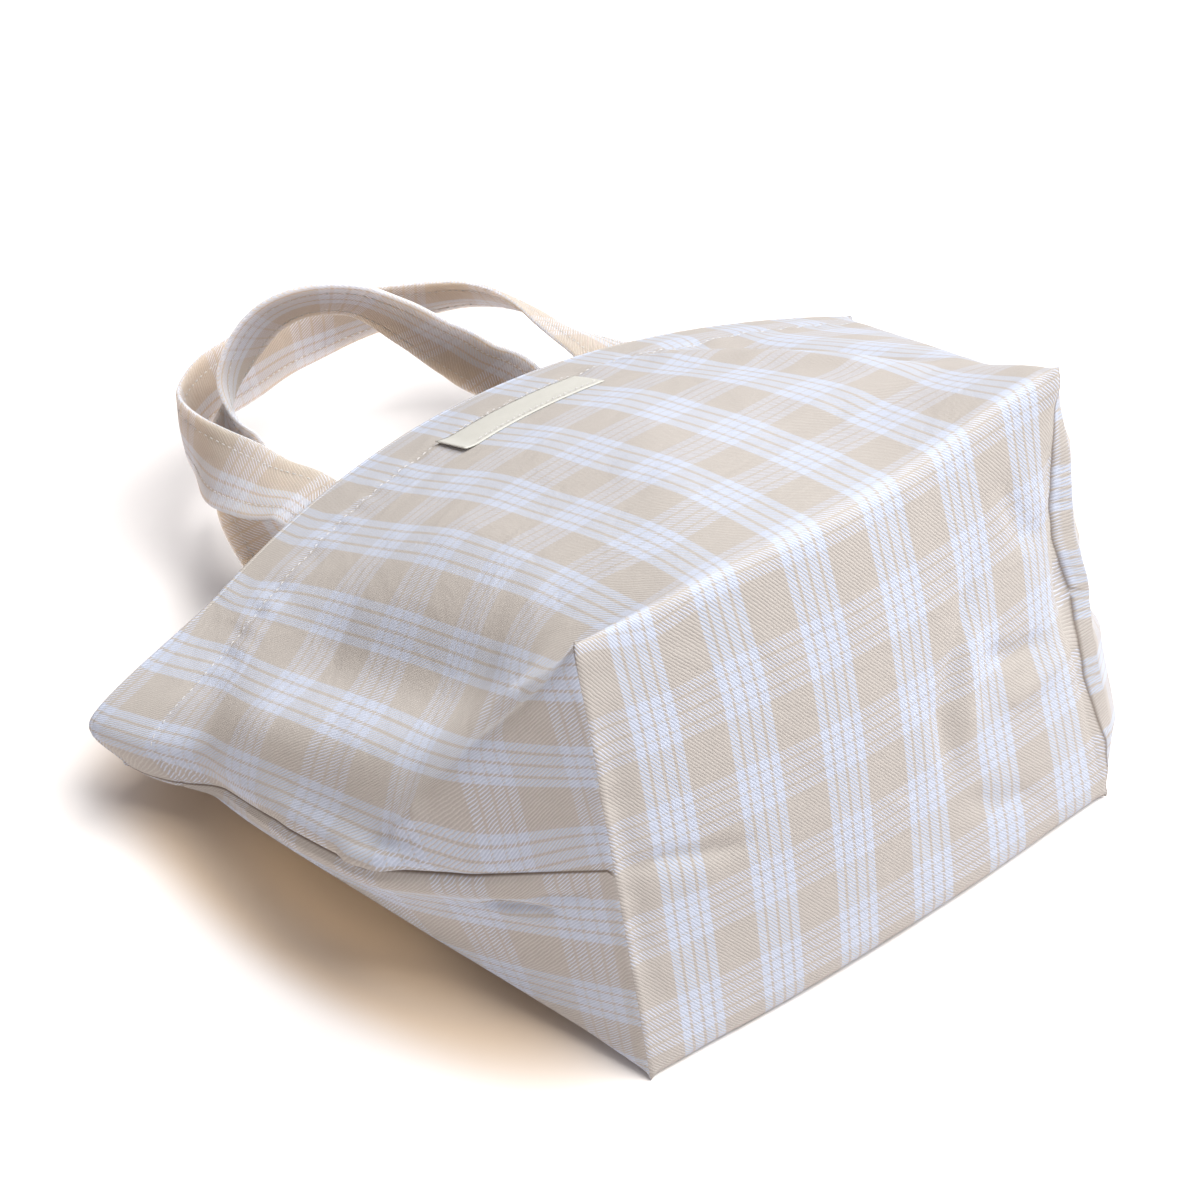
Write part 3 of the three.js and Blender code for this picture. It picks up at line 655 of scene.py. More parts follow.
points = grab(points, points[fold_end].copy(), LEFT_FOLD_REACH, LEFT_FOLD_AT_MOUTH - points[fold_end])
drag = LEFT_SEAM_AT_MOUTH - points[seam_end]
near_mouth = [(-HALF_GIRTH, 110), (-HALF_GIRTH, 282)]
near_base = [(-HALF_GIRTH, 2), (-HALF_GIRTH, 118)]
for patch, width in ((FRONT, 8), (BACK_INNER, 14)):
    points = crease(points, normals, patch, near_mouth, width, drag, 0.4)
for patch in (FRONT, BACK_INNER):
    points = crease(points, normals, patch, near_base, 15, LEFT_SEAM_SINK, 0.35)
for row, reach, move in RIGHT_CORNERS:
    points = grab(points, points[base_ids[row, -1]].copy(), reach, move)
normals = outward_normals(points, quads)
print("left fold", points[fold_end].round(1), "left seam", points[seam_end].round(1))

# %% Large soft folds
LARGE_FOLDS = [
    (BASE, [(86, -4), (86, -35), (86, -62), (86, -95)], 10, (-2.5, 1, 0)),
    (FRONT, [(100, 13), (163, 15)], 12, 6.0),
    (BACK, [(160, 15), (90, 13)], 13, 10.5),
    (FRONT, [(163.5, -40), (163.5, 70)], 15, (7, 0, 0)),
    (BACK_INNER, [(163.5, -40), (163.5, 70)], 15, (7, 0, 0)),
    (FRONT, [(-98, 40), (-102, 80), (-105, 120), (-112, 168)], 17, -7.0),
    (FRONT, [(-128, 70), (-134, 110), (-138, 165)], 13, 4.0),
    (FRONT, [(-60, 50), (-56, 90), (-60, 140)], 15, 2.0),
    (FRONT, [(30, 176), (45, 164), (64, 135), (78, 102), (88, 60)], 8, 3.0),
    (FRONT, [(66, 182), (84, 152), (97, 115), (104, 70)], 8, -3.0),
    (FRONT, [(-163.5, 0), (-163.5, 192)], 1.7, -2.2),
    (FRONT, [(-157, 8), (-156, 90), (-157, 160)], 4, 1.0),
    (BASE, [(86, -6), (86, -150)], 1.6, -3.0),
    (FRONT, [(-157, 50), (-157, 80), (-156, 108)], 4, 1.5),
    (BACK, [(-157, 12), (-157, 80), (-156, 150)], 5, 1.5),
]
for fold in LARGE_FOLDS:
    points = crease(points, normals, *fold)
normals = outward_normals(points, quads)
print(len(LARGE_FOLDS), "large folds")

# %% Creases and puckers
PUCKERS = [
    (BASE, [(-88, -77), (-72, -79.5), (-58, -84), (-40, -89)], 2.2, -1.3),
    (BASE, [(-88, -85), (-72, -88), (-52, -94)], 4.5, 0.5),
    (BASE, [(50, -30), (36, -60), (26, -80), (30, -115)], 4.0, -1.5),
    (BASE, [(40, -52), (38, -75), (36, -100)], 5.0, 1.3),
    (BASE, [(44, -70), (56, -78), (74, -82)], 3.5, -1.4),
    (BASE, [(50, -92), (64, -94), (80, -92)], 4.5, 1.2),
    (BASE, [(58, -20), (66, -42), (80, -50)], 4.0, -1.2),
    (BASE, [(30, -115), (44, -128), (60, -134)], 4.0, -1.0),
    (BASE, [(-78, -20), (-81, -60), (-82, -110), (-79, -140)], 4.0, -0.9),
    (BASE, [(-86, -8), (-86, -148)], 2.0, 0.9),
    (BASE, [(86, -10), (86, -30), (86, -70), (86, -140)], 5.0, -2.0),
    (FRONT, [(-89, 4), (-104, 22), (-118, 46)], 3.5, -1.3),
    (FRONT, [(-92, 14), (-100, 30), (-103, 52)], 4.5, 1.0),
    (FRONT, [(-30, 30), (-10, 70), (5, 120)], 14, 1.2),
    (FRONT, [(-60, 50), (-45, 100), (-50, 150)], 12, -1.2),
    (FRONT, [(30, 30), (34, 80), (20, 130)], 13, -1.0),
    (FRONT, [(-160, 88), (-158.5, 76), (-159.5, 62)], 2.6, 2.4),
    (FRONT, [(-155, 80), (-153, 68), (-154.5, 54)], 2.8, -2.0),
    (FRONT, [(-150.5, 68), (-147, 60), (-141, 53)], 3.2, 1.5),
    (BACK, [(-150, 44), (-148.5, 32), (-146.5, 18)], 2.4, -1.8),
    (BACK, [(-146, 42), (-144.5, 30), (-143, 20)], 2.6, 1.0),
    (BACK, [(-154, 28), (-154, 8)], 2.4, -1.2),
]
for pucker in PUCKERS:
    points = crease(points, normals, *pucker)

# %% The groove of the hem, and gathers beside the seams
HEM_GROOVE = [(-162, HEM_LINE), (0, HEM_LINE), (162, HEM_LINE)]


def gathers(place, away, size, beat, sway, sway_beat):
    """Small uneven waves along a seam, that die out away from it."""
    return size * np.sin(place * beat + np.sin(place * sway_beat) * sway) * np.exp(-(away**2))


for patch in (FRONT, BACK):
    points = crease(points, normals, patch, HEM_GROOVE, width=1.2, height=-0.5, ends=0.0)
    ids, flat = patch
    waves = gathers(flat[..., 0], (flat[..., 1] - HEM_LINE + 2) / 7, 0.35, 0.62, 2.0, 0.11)
    points[ids] += normals[ids] * waves[..., None]
to_seam = HALF_WIDTH - np.abs(BASE[1][..., 0])
waves = gathers(BASE[1][..., 1], to_seam / 8, 0.22, 0.47, 1.3, 0.13)
points[base_ids] += normals[base_ids] * waves[..., None]
print("sculpted", len(points), "places,", len(LARGE_FOLDS) + len(PUCKERS), "lines")


# %% Helpers for pieces
def new_piece(name, points, faces, material):
    mesh = bpy.data.meshes.new(name)
    mesh.from_pydata((points * MM).tolist(), [], faces)
    mesh.materials.append(material)
    piece = bpy.data.objects.new(name, mesh)
    bpy.context.collection.objects.link(piece)
    return piece


def cloth_mesh(name, points, quads, flats, material):
    piece = new_piece(name, points, quads.tolist(), material)
    layer = piece.data.uv_layers.new(name="cloth")
    layer.data.foreach_set("uv", flats.reshape(-1).astype(np.float32))
    piece.data.update()
    return piece


def work_on(piece):
    bpy.ops.object.select_all(action="DESELECT")
    piece.select_set(True)
    bpy.context.view_layer.objects.active = piece


def apply_modifier(piece, kind, **settings):
    work_on(piece)
    modifier = piece.modifiers.new(kind.title(), kind)
    for name, value in settings.items():
        setattr(modifier, name, value)
    bpy.ops.object.modifier_apply(modifier=modifier.name)


def turn_outward(piece):
    work_on(piece)
    bpy.ops.object.mode_set(mode="EDIT")
    bpy.ops.mesh.select_all(action="SELECT")
    bpy.ops.mesh.normals_make_consistent(inside=False)
    bpy.ops.object.mode_set(mode="OBJECT")
    bpy.ops.object.shade_smooth()


def settle(piece, node):
    """Smooth a finished piece that lies on the bag, and hide the part of the model that it stands for."""
    work_on(piece)
    bpy.ops.object.shade_smooth()
    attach(piece, "bag")
    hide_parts(node)


# %% [markdown]
# ## How the check lies
#
# Soft cloth doesn't keep to its grain: on the slack left it slides round the fold, on the right it is
# drawn up. A short table says by how many millimetres the weave has slipped at a few places, and the
# values run smoothly between them.

# %% Slip of the weave
SLIP_PLACES = (-163, -123, -103, -83, -63, -43, -3, 36, 76)
SLIP_LEVELS = (-40, 5, 35, 65, 95, 125, 160, 185)
SLIP_ACROSS = [
    (0, 0, 0, 0, 0, 0, 0, 0, -2),
    (-3, -5, -4, -2, -2, -3, -2, -2, -4),
    (-8, -4, -2, 0, 0, -1, -1, 1, 2),
    (-1, -2, 1, 2, 2, 0, -1, 4, 11),
    (0, 0, 2, 2, 2, 0, -2, 5, 10),
    (-1, 0, 1, 1, 1, 0, -1, 4, 4),
    (-1, -2, -3, -3, -4, -5, -4, -1, -5),
    (5, -2, -9, -8, -7, -6, -4, -1, 0),
]
SLIP_ALONG = [
    (0, 0, 0, 0, 0, 0, 0, 0, 0),
    (1, 4, 6, 9, 4, 6, 4, 3, 0),
    (-2, 2, 7, 25, 22, 12, 6, 5, 4),
    (-6, 12, 24, 30, 26, 17, 6, 12, 19),
    (2, 5, 15, 18, 21, 14, 6, 14, 17),
    (4, 11, 17, 17, 17, 13, 7, 11, 18),
    (4, 4, 8, 7, 3, -1, -5, 1, 18),
    (2, -2, 7, 8, 3, -3, -3, -1, 12),
]
BACK_SLIP_PLACES = (-163, -143, -123, -103, -70)
BACK_SLIP = (3, 6, 10, 9, 3)
BACK_SLIP_ALONG = 4.0


def find_span(x, knots):
    """Which two knots each x lies between, how far apart they are, and the share of the way."""
    span = np.clip(np.searchsorted(knots, x, side="right") - 1, 0, len(knots) - 2)
    width = knots[span + 1] - knots[span]
    return span, width, (x - knots[span]) / width


def cubic(t, width, first, second, leaving, arriving):
    """A smooth curve from one value to the next, with the slopes that it has there."""
    start = (2 * t**3 - 3 * t**2 + 1) * first + (t**3 - 2 * t**2 + t) * width * leaving
    return start + (3 * t**2 - 2 * t**3) * second + (t**3 - t**2) * width * arriving


def slipped(flat):
    """Where the weave really lies, for flat places on the front and the base."""
    across_knots, along_knots = np.array(SLIP_PLACES, dtype=float), np.array(SLIP_LEVELS, dtype=float)
    place, level = flat[..., 0].ravel(), flat[..., 1].ravel()
    column = find_span(np.clip(place, across_knots[0], across_knots[-1]), across_knots)
    row = find_span(np.clip(level, along_knots[0], along_knots[-1]), along_knots)
    each = np.arange(len(place))
    moved = np.array(flat, dtype=float).reshape(-1, 2)
    for axis, table in enumerate((SLIP_ACROSS, SLIP_ALONG)):
        table = np.array(table, dtype=float)
        slopes = np.gradient(table, across_knots, axis=1)
        span, width, t = column
        levels = cubic(t, width, table[:, span], table[:, span + 1], slopes[:, span], slopes[:, span + 1])
        slopes = np.gradient(levels, along_knots, axis=0)
        span, width, t = row
        ends = (levels[span, each], levels[span + 1, each], slopes[span, each], slopes[span + 1, each])
        moved[:, axis] -= cubic(t, width, *ends)
    return moved.reshape(flat.shape)


covered = (len(columns) - 1) * ROWS + MIDDLE_COLUMNS * BASE_ROWS
back_flats = flats[covered:].copy()
back_flats[..., 0] -= np.interp(back_flats[..., 0], BACK_SLIP_PLACES, BACK_SLIP)
back_flats[..., 1] -= BACK_SLIP_ALONG
flats = np.concatenate([slipped(flats[:covered]), back_flats])
print("weave slips up to", np.abs(SLIP_ALONG).max(), "mm")

# %% The cloth of the bag, with painted shade in the valley of each seam
CLOTH_THICKNESS = 0.0009
SEAM_REACH = 3.0
# Shares of painted seam shade along the base's ends and the right seam.
LEFT_END_VALLEY = ((0, 14, 30), (0.95, 0.8, 0.78))
RIGHT_END_VALLEY = 0.9
RIGHT_SEAM_VALLEY = 0.76


def nearness(away):
    return np.clip(1 - away / SEAM_REACH, 0, 1)


body = cloth_mesh("bag_cloth", points, quads, flats, checked_cloth)
near = np.zeros(len(points))
to_side = nearness(HALF_GIRTH - np.abs(columns))[None, :]
to_end = nearness(heights)[:, None] * (np.abs(columns) > HALF_WIDTH)[None, :]
for ids in (front_ids, back_ids):
    near[ids] = np.maximum(to_side, to_end)
near[base_ids] = nearness(HALF_WIDTH - np.abs(inner_columns))[None, :]
near[base_ids[:, 0]] = np.interp(depths, *LEFT_END_VALLEY)
near[base_ids[:, -1]] = RIGHT_END_VALLEY
near[front_ids[:, -1]] = RIGHT_SEAM_VALLEY
layer = body.data.attributes.new("near_seam", "FLOAT", "POINT")
layer.data.foreach_set("value", near.astype(np.float32))
apply_modifier(body, "SOLIDIFY", thickness=CLOTH_THICKNESS, offset=-1)
settle(body, "body_cloth")
normals = outward_normals(points, quads)
print("bag cloth", len(body.data.polygons), "faces")

# %% [markdown]
# ## The turned hem
#
# At the mouth the cloth is folded to the inside and held by one row of stitches. The fold is a soft roll, not
# a cut edge, so the hem is swept as a small hook: over the top, then down along the inside of the bag.


# %% Find places on the finished shell
MOUTH_STEP = 4.0
front_grid = points[front_ids]
back_grid = points[back_ids]
front_out = normals[front_ids]
back_out = normals[back_ids]


def read_grid(grid, place, height):
    column = min(np.interp(place, columns, np.arange(len(columns))), len(columns) - 1.001)
    row = min(max(height, 0) / PANEL_HEIGHT * ROWS, ROWS - 0.001)
    c, r = int(column), int(row)
    low = between(grid[r, c], grid[r, c + 1], column - c)
    high = between(grid[r + 1, c], grid[r + 1, c + 1], column - c)
    return between(low, high, row - r)


def layer_point(is_front, place, height, depth):
    """A place on the cloth, moved to the inside by depth. Above the mouth it goes straight on."""
    grid, out = (front_grid, front_out) if is_front else (back_grid, back_out)
    point = read_grid(grid, place, height)
    if height > PANEL_HEIGHT:
        ahead = read_grid(grid, place, PANEL_HEIGHT) - read_grid(grid, place, PANEL_HEIGHT - MOUTH_STEP)
        point = point + ahead / MOUTH_STEP * (height - PANEL_HEIGHT)
    return point - unit(read_grid(out, place, height)) * depth


def layer_points(is_front, spots, depth):
    return np.array([layer_point(is_front, place, height, depth) for place, height in spots])


# %% Sweep the hem round the mouth
HEM_HOOK = [
    (194.6, -0.1), (195.6, -0.2), (196.4, 0.1), (196.9, 0.7), (197.0, 1.3), (196.6, 1.9), (195.6, 2.2),
    (192.0, 2.3), (188.0, 2.3), (184.0, 2.3), (180.0, 2.3), (176.0, 2.2), (174.0, 1.9), (172.0, 2.3),
    (170.5, 2.4),
]
HEM_THICKNESS = 0.0007
loop = [(True, a) for a in columns] + [(False, a) for a in columns[-2:0:-1]]
turned = np.cumsum([0] + [math.dist(*pair) for pair in zip(HEM_HOOK, HEM_HOOK[1:])])
hem_points, hem_flats = [], []
for is_front, place in loop:
    for (height, depth), walked in zip(HEM_HOOK, turned):
        hem_points.append(layer_point(is_front, place, height, depth))
        level = HEM_HOOK[0][0] + walked
        hem_flats.append((place, level if is_front else -BASE_DEPTH - level))
hem_flats = np.array(hem_flats)
on_front = hem_flats[:, 1] > 0
hem_flats[on_front] = slipped(hem_flats[on_front])
hem_ids = np.arange(len(hem_flats)).reshape(len(loop), len(HEM_HOOK))
hem_quads = patch_quads(np.concatenate([hem_ids, hem_ids[:1]]), True)
hem = cloth_mesh("hem_band", np.array(hem_points), hem_quads, hem_flats[hem_quads], checked_cloth)
apply_modifier(hem, "SOLIDIFY", thickness=HEM_THICKNESS, offset=-1)
settle(hem, "mouth_hem")
print("hem", len(hem.data.polygons), "faces")

# %% [markdown]
# ## Seam allowances inside
#
# The side seams and the boxed corners are sewn from the inside, and the raw edges stay there as narrow
# strips. They show only through the mouth, so each is a plain strip of cloth with a slight wave.

# %% Strips along the seams
SEAM_ALLOWANCE = 9.0
SEAM_CLEARANCE = 1.4
SEAM_WAVE = 0.5
SEAM_THICKNESS = 0.0016
ROW_PITCH = PANEL_HEIGHT / ROWS
SIDE_SEAM_ROWS = slice(2, 86)
CORNER_SEAM_ROWS = slice(9, -9)


def seam_strip(name, ids, flat_start, node):
    steps = np.linspace(0, SEAM_ALLOWANCE, 5)
    strip, flat = [], []
    for i, (place, inward) in enumerate(zip(points[ids], -normals[ids])):
        for step in steps:
            wave = SEAM_WAVE * math.sin(i * 0.35) * step / SEAM_ALLOWANCE
            strip.append(place + inward * (SEAM_CLEARANCE + step) + np.array([0, 0, wave]))
            flat.append((flat_start + step, i * ROW_PITCH))
    faces = sheet_quads(len(ids), len(steps))
    piece = cloth_mesh(name, np.array(strip), faces, np.array(flat)[faces], checked_cloth)
    apply_modifier(piece, "SOLIDIFY", thickness=SEAM_THICKNESS, offset=0)
    settle(piece, node)
    return piece


for name, column in (("left", 0), ("right", -1)):
    side_ids = front_ids[SIDE_SEAM_ROWS, column]
    corner_ids = base_ids[CORNER_SEAM_ROWS, column]
    seam_strip(f"{name}_side_allowance", side_ids, HALF_GIRTH, f"{name}_side_seam")
    seam_strip(f"{name}_corner_allowance", corner_ids, HALF_WIDTH, f"{name}_corner_seam")

# %% [markdown]
# ## The straps
#
# Each handle is a long strip of the cloth folded in on itself, pressed flat and stitched near both edges, so
# it is a ribbon with soft edges that is a little fuller between the rows. It keeps its width but turns and
# leans as it hangs. The ribbon is swept along a smooth line through points, each with its own
# turn. A route gives each point as shares of the strap's half span, reach and rise, and the turn in degrees.

# %% Routes of the two straps
STRAP_WIDTH = 25.0
STRAP_THICKNESS = 3.0
STRAP_SPACING = 122.0
SEAT_LOW = PANEL_HEIGHT - 9.0
SEAT_DEPTH = 4.0
STRAP_STEPS = 130
STITCH_PLACE = STRAP_WIDTH / 2 - 5.0
FRONT_REACH = 86.0
FRONT_DROP = 11.0
REAR_REACH = 78.0
REAR_RISE = 75.0
FRONT_ROUTE = [
    (-1, 0, 0, 0), (-1.02, 0.12, -0.12, -3), (-1.1, 0.29, -0.5, -18), (-1.15, 0.5, -0.86, -48),
    (-1.15, 0.69, -1, -82), (-1.11, 0.84, -1, -93), (-0.94, 0.92, -1.05, -104), (-0.65, 0.97, -1.09, -110),
    (-0.17, 1, -1.09, -97), (0.27, 0.95, -1.09, -79), (0.58, 0.87, -1.05, -66), (0.78, 0.78, -0.91, -58),
    (0.9, 0.67, -0.82, -52), (0.97, 0.51, -0.73, -46), (0.99, 0.36, -0.64, -38), (1, 0.22, -0.36, -28),
    (1, 0.09, -0.09, -18), (1, 0, 0, -8),
]
REAR_ROUTE = [
    (-1, 0, 0, 2), (-1, 0.11, 0.04, 2), (-1.11, 0.37, 0.15, -10), (-1.08, 0.6, 0.25, -28),
    (-1.02, 0.775, 0.36, -47), (-0.98, 0.885, 0.47, -64), (-0.9, 0.945, 0.61, -74), (-0.79, 0.96, 0.77, -68),
    (-0.64, 0.935, 0.91, -62), (-0.44, 0.865, 0.99, -61), (-0.21, 0.77, 0.98, -61), (-0.03, 0.69, 0.89, -61),
    (0.17, 0.62, 0.73, -63), (0.4, 0.56, 0.54, -69), (0.63, 0.49, 0.37, -80), (0.87, 0.29, 0.18, -60),
    (1, 0.11, 0.05, -12), (1, 0, 0, 2),
]
SEATS = {
    "front": (np.array([-59.85, 111.01, 56.6]), np.array([59.13, 113.98, 55.75])),
    "rear": (np.array([-56.9, 102.91, 10.22]), np.array([58.3, 102.91, 10.22])),
}


def smooth_line(knots, steps):
    """Even points along a smooth line through the knots, with the values that ride on them."""
    gaps = np.sqrt(np.linalg.norm(np.diff(knots[:, :3], axis=0), axis=1))
    times = np.concatenate([[0], np.cumsum(gaps)])
    slopes = np.gradient(knots, times, axis=0)
    span, width, t = find_span(np.linspace(0, times[-1], steps * 8), times)
    ends = (knots[span], knots[span + 1], slopes[span], slopes[span + 1])
    line = cubic(t[:, None], width[:, None], *ends)
    walked = np.concatenate([[0], np.cumsum(np.linalg.norm(np.diff(line[:, :3], axis=0), axis=1))])
    even = np.linspace(0, walked[-1], steps)
    return read_along(even, walked, line), even


def read_along(picks, walked, values):
    return np.stack([np.interp(picks, walked, column) for column in values.T], axis=1)


def strap_frames(which):
    """Middle line of a strap with its across, out and ahead directions, from inside one seat to the other."""
    is_front = which == "front"
    left, right = SEATS[which]
    reach, rise = (FRONT_REACH, FRONT_DROP) if is_front else (REAR_REACH, REAR_RISE)
    knots = []
    for x, y, z, turn in FRONT_ROUTE if is_front else REAR_ROUTE:
        knots.append((*(between(left, right, (x + 1) / 2) + np.array([0, y * reach, z * rise])), turn))
    seats = [(-STRAP_SPACING / 2, SEAT_LOW), (STRAP_SPACING / 2, SEAT_LOW)]
    inside = layer_points(is_front, seats, SEAT_DEPTH)
    knots = [(*inside[0], knots[0][3])] + knots + [(*inside[1], knots[-1][3])]
    line, walked = smooth_line(np.array(knots), STRAP_STEPS)
    middle = line[:, :3]
    ahead = unit(np.gradient(middle, axis=0))
    sideways = unit(np.cross([0, 0, 1], ahead))
    upright = np.cross(ahead, sideways)
    turn = np.radians(line[:, 3])[:, None]
    across = sideways * np.cos(turn) + upright * np.sin(turn)
    return middle, across, np.cross(ahead, across), ahead, walked


# %% Sweep the straps
half_width, half_thick = STRAP_WIDTH / 2, STRAP_THICKNESS / 2
FLAT_HALF = 11.6
CHECK_SHIFT = {"front": 12.0, "rear": 4.0}
CHECK_MIDDLE = WARP_MIDDLE - 7.5
rim = [(12.2, -0.45), (half_width, -0.2), (half_width + 0.1, 0.0), (half_width, 0.2), (12.2, 0.45)]
face = [(FLAT_HALF, 0.62), (10.0, 0.74), (8.4, 0.8), (7.5, 0.76), (6.6, 0.88), (4.5, 1.02), (1.5, 1.08)]
face = face + [(-u, v) for u, v in reversed(face)]
section = rim[1:] + face + [(-u, v) for u, v in reversed(rim)] + [(-u, -v) for u, v in face] + rim[:1]
section = np.array(section) * (1, half_thick)
from_middle = np.abs(section[:, 0])
round_edge = np.clip(from_middle - FLAT_HALF, 0, None) * 1.6 + np.where(from_middle > 12, 0.6, 0)
section_u = np.sign(section[:, 0]) * (np.minimum(from_middle, FLAT_HALF) + round_edge)


def sweep_strap(which):
    middle, across, out, ahead, walked = strap_frames(which)
    wobble = 0.25 * np.sin(walked * 0.21) + 0.2 * np.sin(walked * 0.083 + 1)
    rings = middle[:, None, :] + across[:, None, :] * (section[None, :, 0:1] + wobble[:, None, None])
    rings = rings + out[:, None, :] * section[None, :, 1:2]
    ids = np.arange(rings.shape[0] * rings.shape[1]).reshape(rings.shape[:2])
    faces = patch_quads(np.concatenate([ids, ids[:, :1]], axis=1), True)
    mirrored = 1 if which == "front" else -1
    flat = flat_places(CHECK_MIDDLE + mirrored * section_u, walked + CHECK_SHIFT[which]).reshape(-1, 2)
    piece = cloth_mesh(f"{which}_strap", rings.reshape(-1, 3), faces, flat[faces], strap_cloth)
    turn_outward(piece)
    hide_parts(f"{which}_handle")
    return piece, walked[-1]


def bend_with_handle(piece):
    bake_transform(piece)


for which in ("front", "rear"):
    strap, strap_length = sweep_strap(which)
    bend_with_handle(strap)
    print(which, "strap", round(strap_length), "mm long")

# %% Sewn ends of the straps, flat against the inside of the hem
END_DEPTH = 3.2
END_LEVELS = np.linspace(PANEL_HEIGHT - 18.0, PANEL_HEIGHT + 3.5, 10)
END_PLACES = np.linspace(-half_width, half_width, 9)
END_CHECK = WARP_MIDDLE - 5.5
for which in ("front", "rear"):
    for side, side_name in ((-1, "left"), (1, "right")):
        name = f"{which}_handle_{side_name}_end"
        spots = flat_places(side * STRAP_SPACING / 2 + END_PLACES, END_LEVELS).reshape(-1, 2)
        slab = layer_points(which == "front", spots, END_DEPTH)
        flat = spots + (END_CHECK - side * STRAP_SPACING / 2, 0)
        faces = sheet_quads(len(END_LEVELS), len(END_PLACES), which != "front")
        piece = cloth_mesh(name + "_tab", slab, faces, flat[faces], strap_cloth)
        apply_modifier(piece, "SOLIDIFY", thickness=STRAP_THICKNESS * MM, offset=-1)
        apply_modifier(piece, "BEVEL", width=0.0006, segments=2, limit_method="ANGLE")
        settle(piece, name)
        bpy.ops.object.shade_smooth_by_angle(angle=math.radians(50))
print("four sewn ends")

# %% [markdown]
# ## Stitches
#
# A running stitch shows as a short dash of thread that dips into the cloth at both ends. One dash is modelled
# and then laid out again and again along each row.

# %% One stitch
STITCH_PITCH = 2.6
STITCH_LIFT = half_thick * 0.76 + 0.08
DASH_SIZE = (0.88, 0.23, 0.2)
DASH_BOW = 0.3
bpy.ops.object.select_all(action="DESELECT")
bpy.ops.mesh.primitive_uv_sphere_add(segments=8, ring_count=6, radius=1.0)
dash = bpy.context.object
dash.name = "one_stitch"
shape = np.array([v.co[:] for v in dash.data.vertices])
dash_faces = [list(f.vertices) for f in dash.data.polygons]
dash_shape = shape[:, [2, 0, 1]] * DASH_SIZE
dash_shape[:, 2] -= DASH_BOW * dash_shape[:, 0] ** 2
bpy.data.objects.remove(dash)


def fibre_material(name, low, high, grain):
    """Matt fibres with an uneven tone and a fine twist that runs slantwise."""
    material = plain_material(name, low, 0.8)
    tree = material.node_tree
    shader = tree.nodes["Principled BSDF"]
    place = tree.nodes.new("ShaderNodeTexCoord").outputs["Object"]
    patches = add_node(tree, "ShaderNodeTexNoise", Vector=place, Scale=180.0, Detail=3.0)
    twist = add_node(tree, "ShaderNodeTexWave", Vector=place, Scale=grain, Distortion=1.5)
    twist.bands_direction = "DIAGONAL"
    tone = sums(tree, "MULTIPLY", patches.outputs["Fac"], 0.7)
    tone = sums(tree, "MULTIPLY_ADD", twist.outputs["Fac"], 0.3, tone)
    tree.links.new(mixed(tree, tone, (*low, 1), (*high, 1)), shader.inputs["Base Color"])
    raised = sums(tree, "MULTIPLY", twist.outputs["Fac"], 0.00008)
    bump = add_node(tree, "ShaderNodeBump", Strength=0.7, Distance=1.0, Height=raised)
    tree.links.new(bump.outputs["Normal"], shader.inputs["Normal"])
    return material


thread_white = fibre_material("sewing thread", (0.36, 0.35, 0.34), (0.50, 0.49, 0.49), 1050)


def lay_stitches(name, rows, scale=1.0):
    """Copies of the stitch along rows of places, each with its way forward and its way up, as one piece."""
    made, faces = [], []
    for centre, forward, up in zip(*(np.concatenate(column) for column in zip(*rows))):
        forward = unit(forward)
        side = unit(np.cross(up, forward))
        up = np.cross(forward, side)
        start = len(made) * len(dash_shape)
        turned_dash = dash_shape[:, 0:1] * forward + dash_shape[:, 1:2] * side + dash_shape[:, 2:3] * up
        made.append(centre + turned_dash * scale)
        faces.extend([[start + i for i in f] for f in dash_faces])
    piece = new_piece(name, np.concatenate(made), faces, thread_white)
    turn_outward(piece)
    return piece


def row_on_cloth(is_front, places, height, lift, depth):
    spots = [(place, height) for place in places]
    centres = layer_points(is_front, spots, -lift)
    return centres, np.gradient(centres, axis=0), centres - layer_points(is_front, spots, depth)


# %% Stitches of the hem
hem_places = np.arange(-HALF_GIRTH + 2, HALF_GIRTH - 1, STITCH_PITCH)
rows = [row_on_cloth(is_front, hem_places, HEM_LINE, lift=0.12, depth=1.0) for is_front in (True, False)]
hem_row = lay_stitches("hem_stitches", rows)
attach(hem_row, "bag")
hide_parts("hem_stitching")
print("hem stitches", 2 * len(hem_places))

# %% Stitches of the straps, near both edges and on both faces
for which in ("front", "rear"):
    middle, across, out, ahead, walked = strap_frames(which)
    for name, edge in (("outer", 1), ("inner", -1)):
        picks = np.arange(8, walked[-1] - 8, STITCH_PITCH)
        rows = []
        for face_side in (1, -1):
            row = middle + across * (edge * STITCH_PLACE) + out * face_side * STITCH_LIFT
            rows.append([read_along(picks, walked, way) for way in (row, ahead, out * face_side)])
        row_piece = lay_stitches(f"{which}_strap_{name}_stitches", rows)
        bend_with_handle(row_piece)
        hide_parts(f"{which}_handle_{name}_stitching")
    print(which, "strap", 4 * len(picks), "stitches")

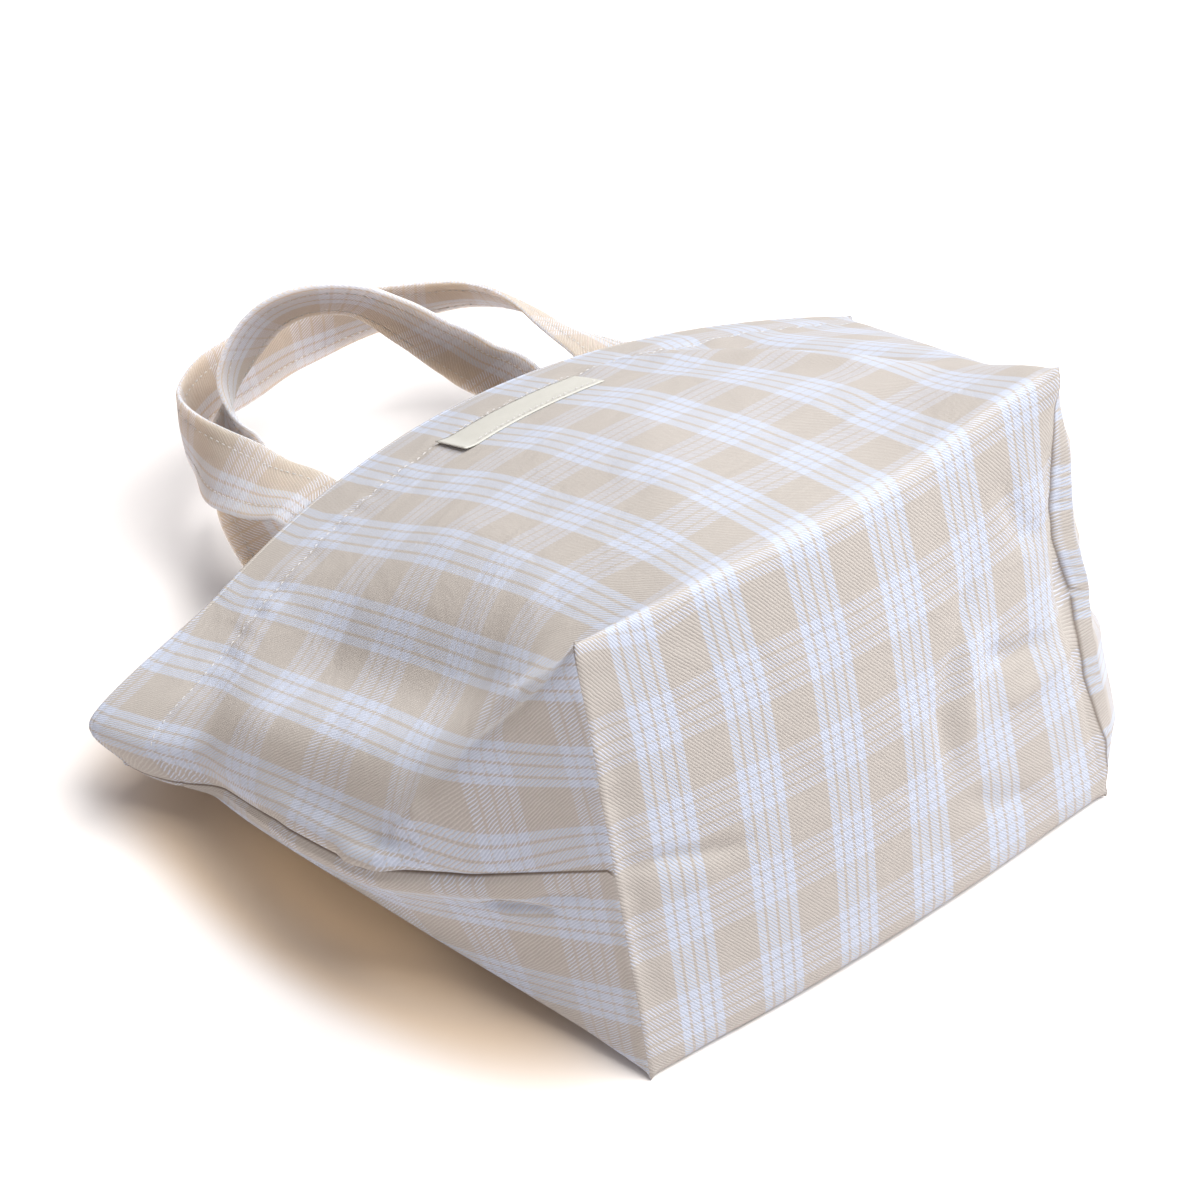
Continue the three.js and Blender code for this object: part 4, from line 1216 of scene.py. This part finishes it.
# %% [markdown]
# ## The label
#
# A short piece of woven tape is sewn to the front just under the hem. Its left end has come up a little, so
# the tape is a thin sheet that follows the cloth and lifts at that end. It is stiffer than the cloth, so it
# keeps to a simple curved surface fitted to the cloth below.

# %% Tape and its stitches
LABEL_LENGTH = 54.0
LABEL_LOW = 154.4
LABEL_HIGH = 172.2
LABEL_LIFT = 1.1
LABEL_THICKNESS = 0.0004
places = np.linspace(-LABEL_LENGTH / 2, LABEL_LENGTH / 2, 55)
levels = np.linspace(LABEL_LOW, LABEL_HIGH, 16)
lift = LABEL_LIFT * np.clip(1 - (places + LABEL_LENGTH / 2) / 6, 0, 1) ** 2
flat = flat_places(places, levels).reshape(-1, 2)
skin = layer_points(True, flat, 0)
lying = layer_points(True, flat, -1) - skin
across, up = flat[:, 0] * 2 / LABEL_LENGTH, (flat[:, 1] - LABEL_LOW) / (LABEL_HIGH - LABEL_LOW)
shape = np.stack([across**i * up**j for i in range(5) for j in range(3)], axis=1)
eased = shape @ np.linalg.lstsq(shape, skin, rcond=None)[0]
away = np.einsum("ij,ij->i", skin - eased, lying)
tape = eased + lying * (np.percentile(away, 85) + np.tile(lift, len(levels)))[:, None]
faces = sheet_quads(len(levels), len(places))
label_material = fibre_material("woven tape", (0.375, 0.37, 0.335), (0.445, 0.44, 0.405), 620)
label = cloth_mesh("label_tape", tape, faces, flat[faces], label_material)
apply_modifier(label, "SOLIDIFY", thickness=LABEL_THICKNESS, offset=1)
settle(label, "woven_label")

LABEL_STITCH_INSET = 1.2
LABEL_STITCH_PITCH = 2.2
row_places = np.arange(-LABEL_LENGTH / 2 + 7, LABEL_LENGTH / 2 - 1, LABEL_STITCH_PITCH)
row_heights = (LABEL_LOW + LABEL_STITCH_INSET, LABEL_HIGH - LABEL_STITCH_INSET)
label_rows = [row_on_cloth(True, row_places, height, lift=1.2, depth=0.5) for height in row_heights]
label_row = lay_stitches("label_stitches", label_rows, scale=0.7)
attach(label_row, "bag")
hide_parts("label_stitching")
print("label", LABEL_LENGTH, "mm long,", 2 * len(row_places), "stitches")
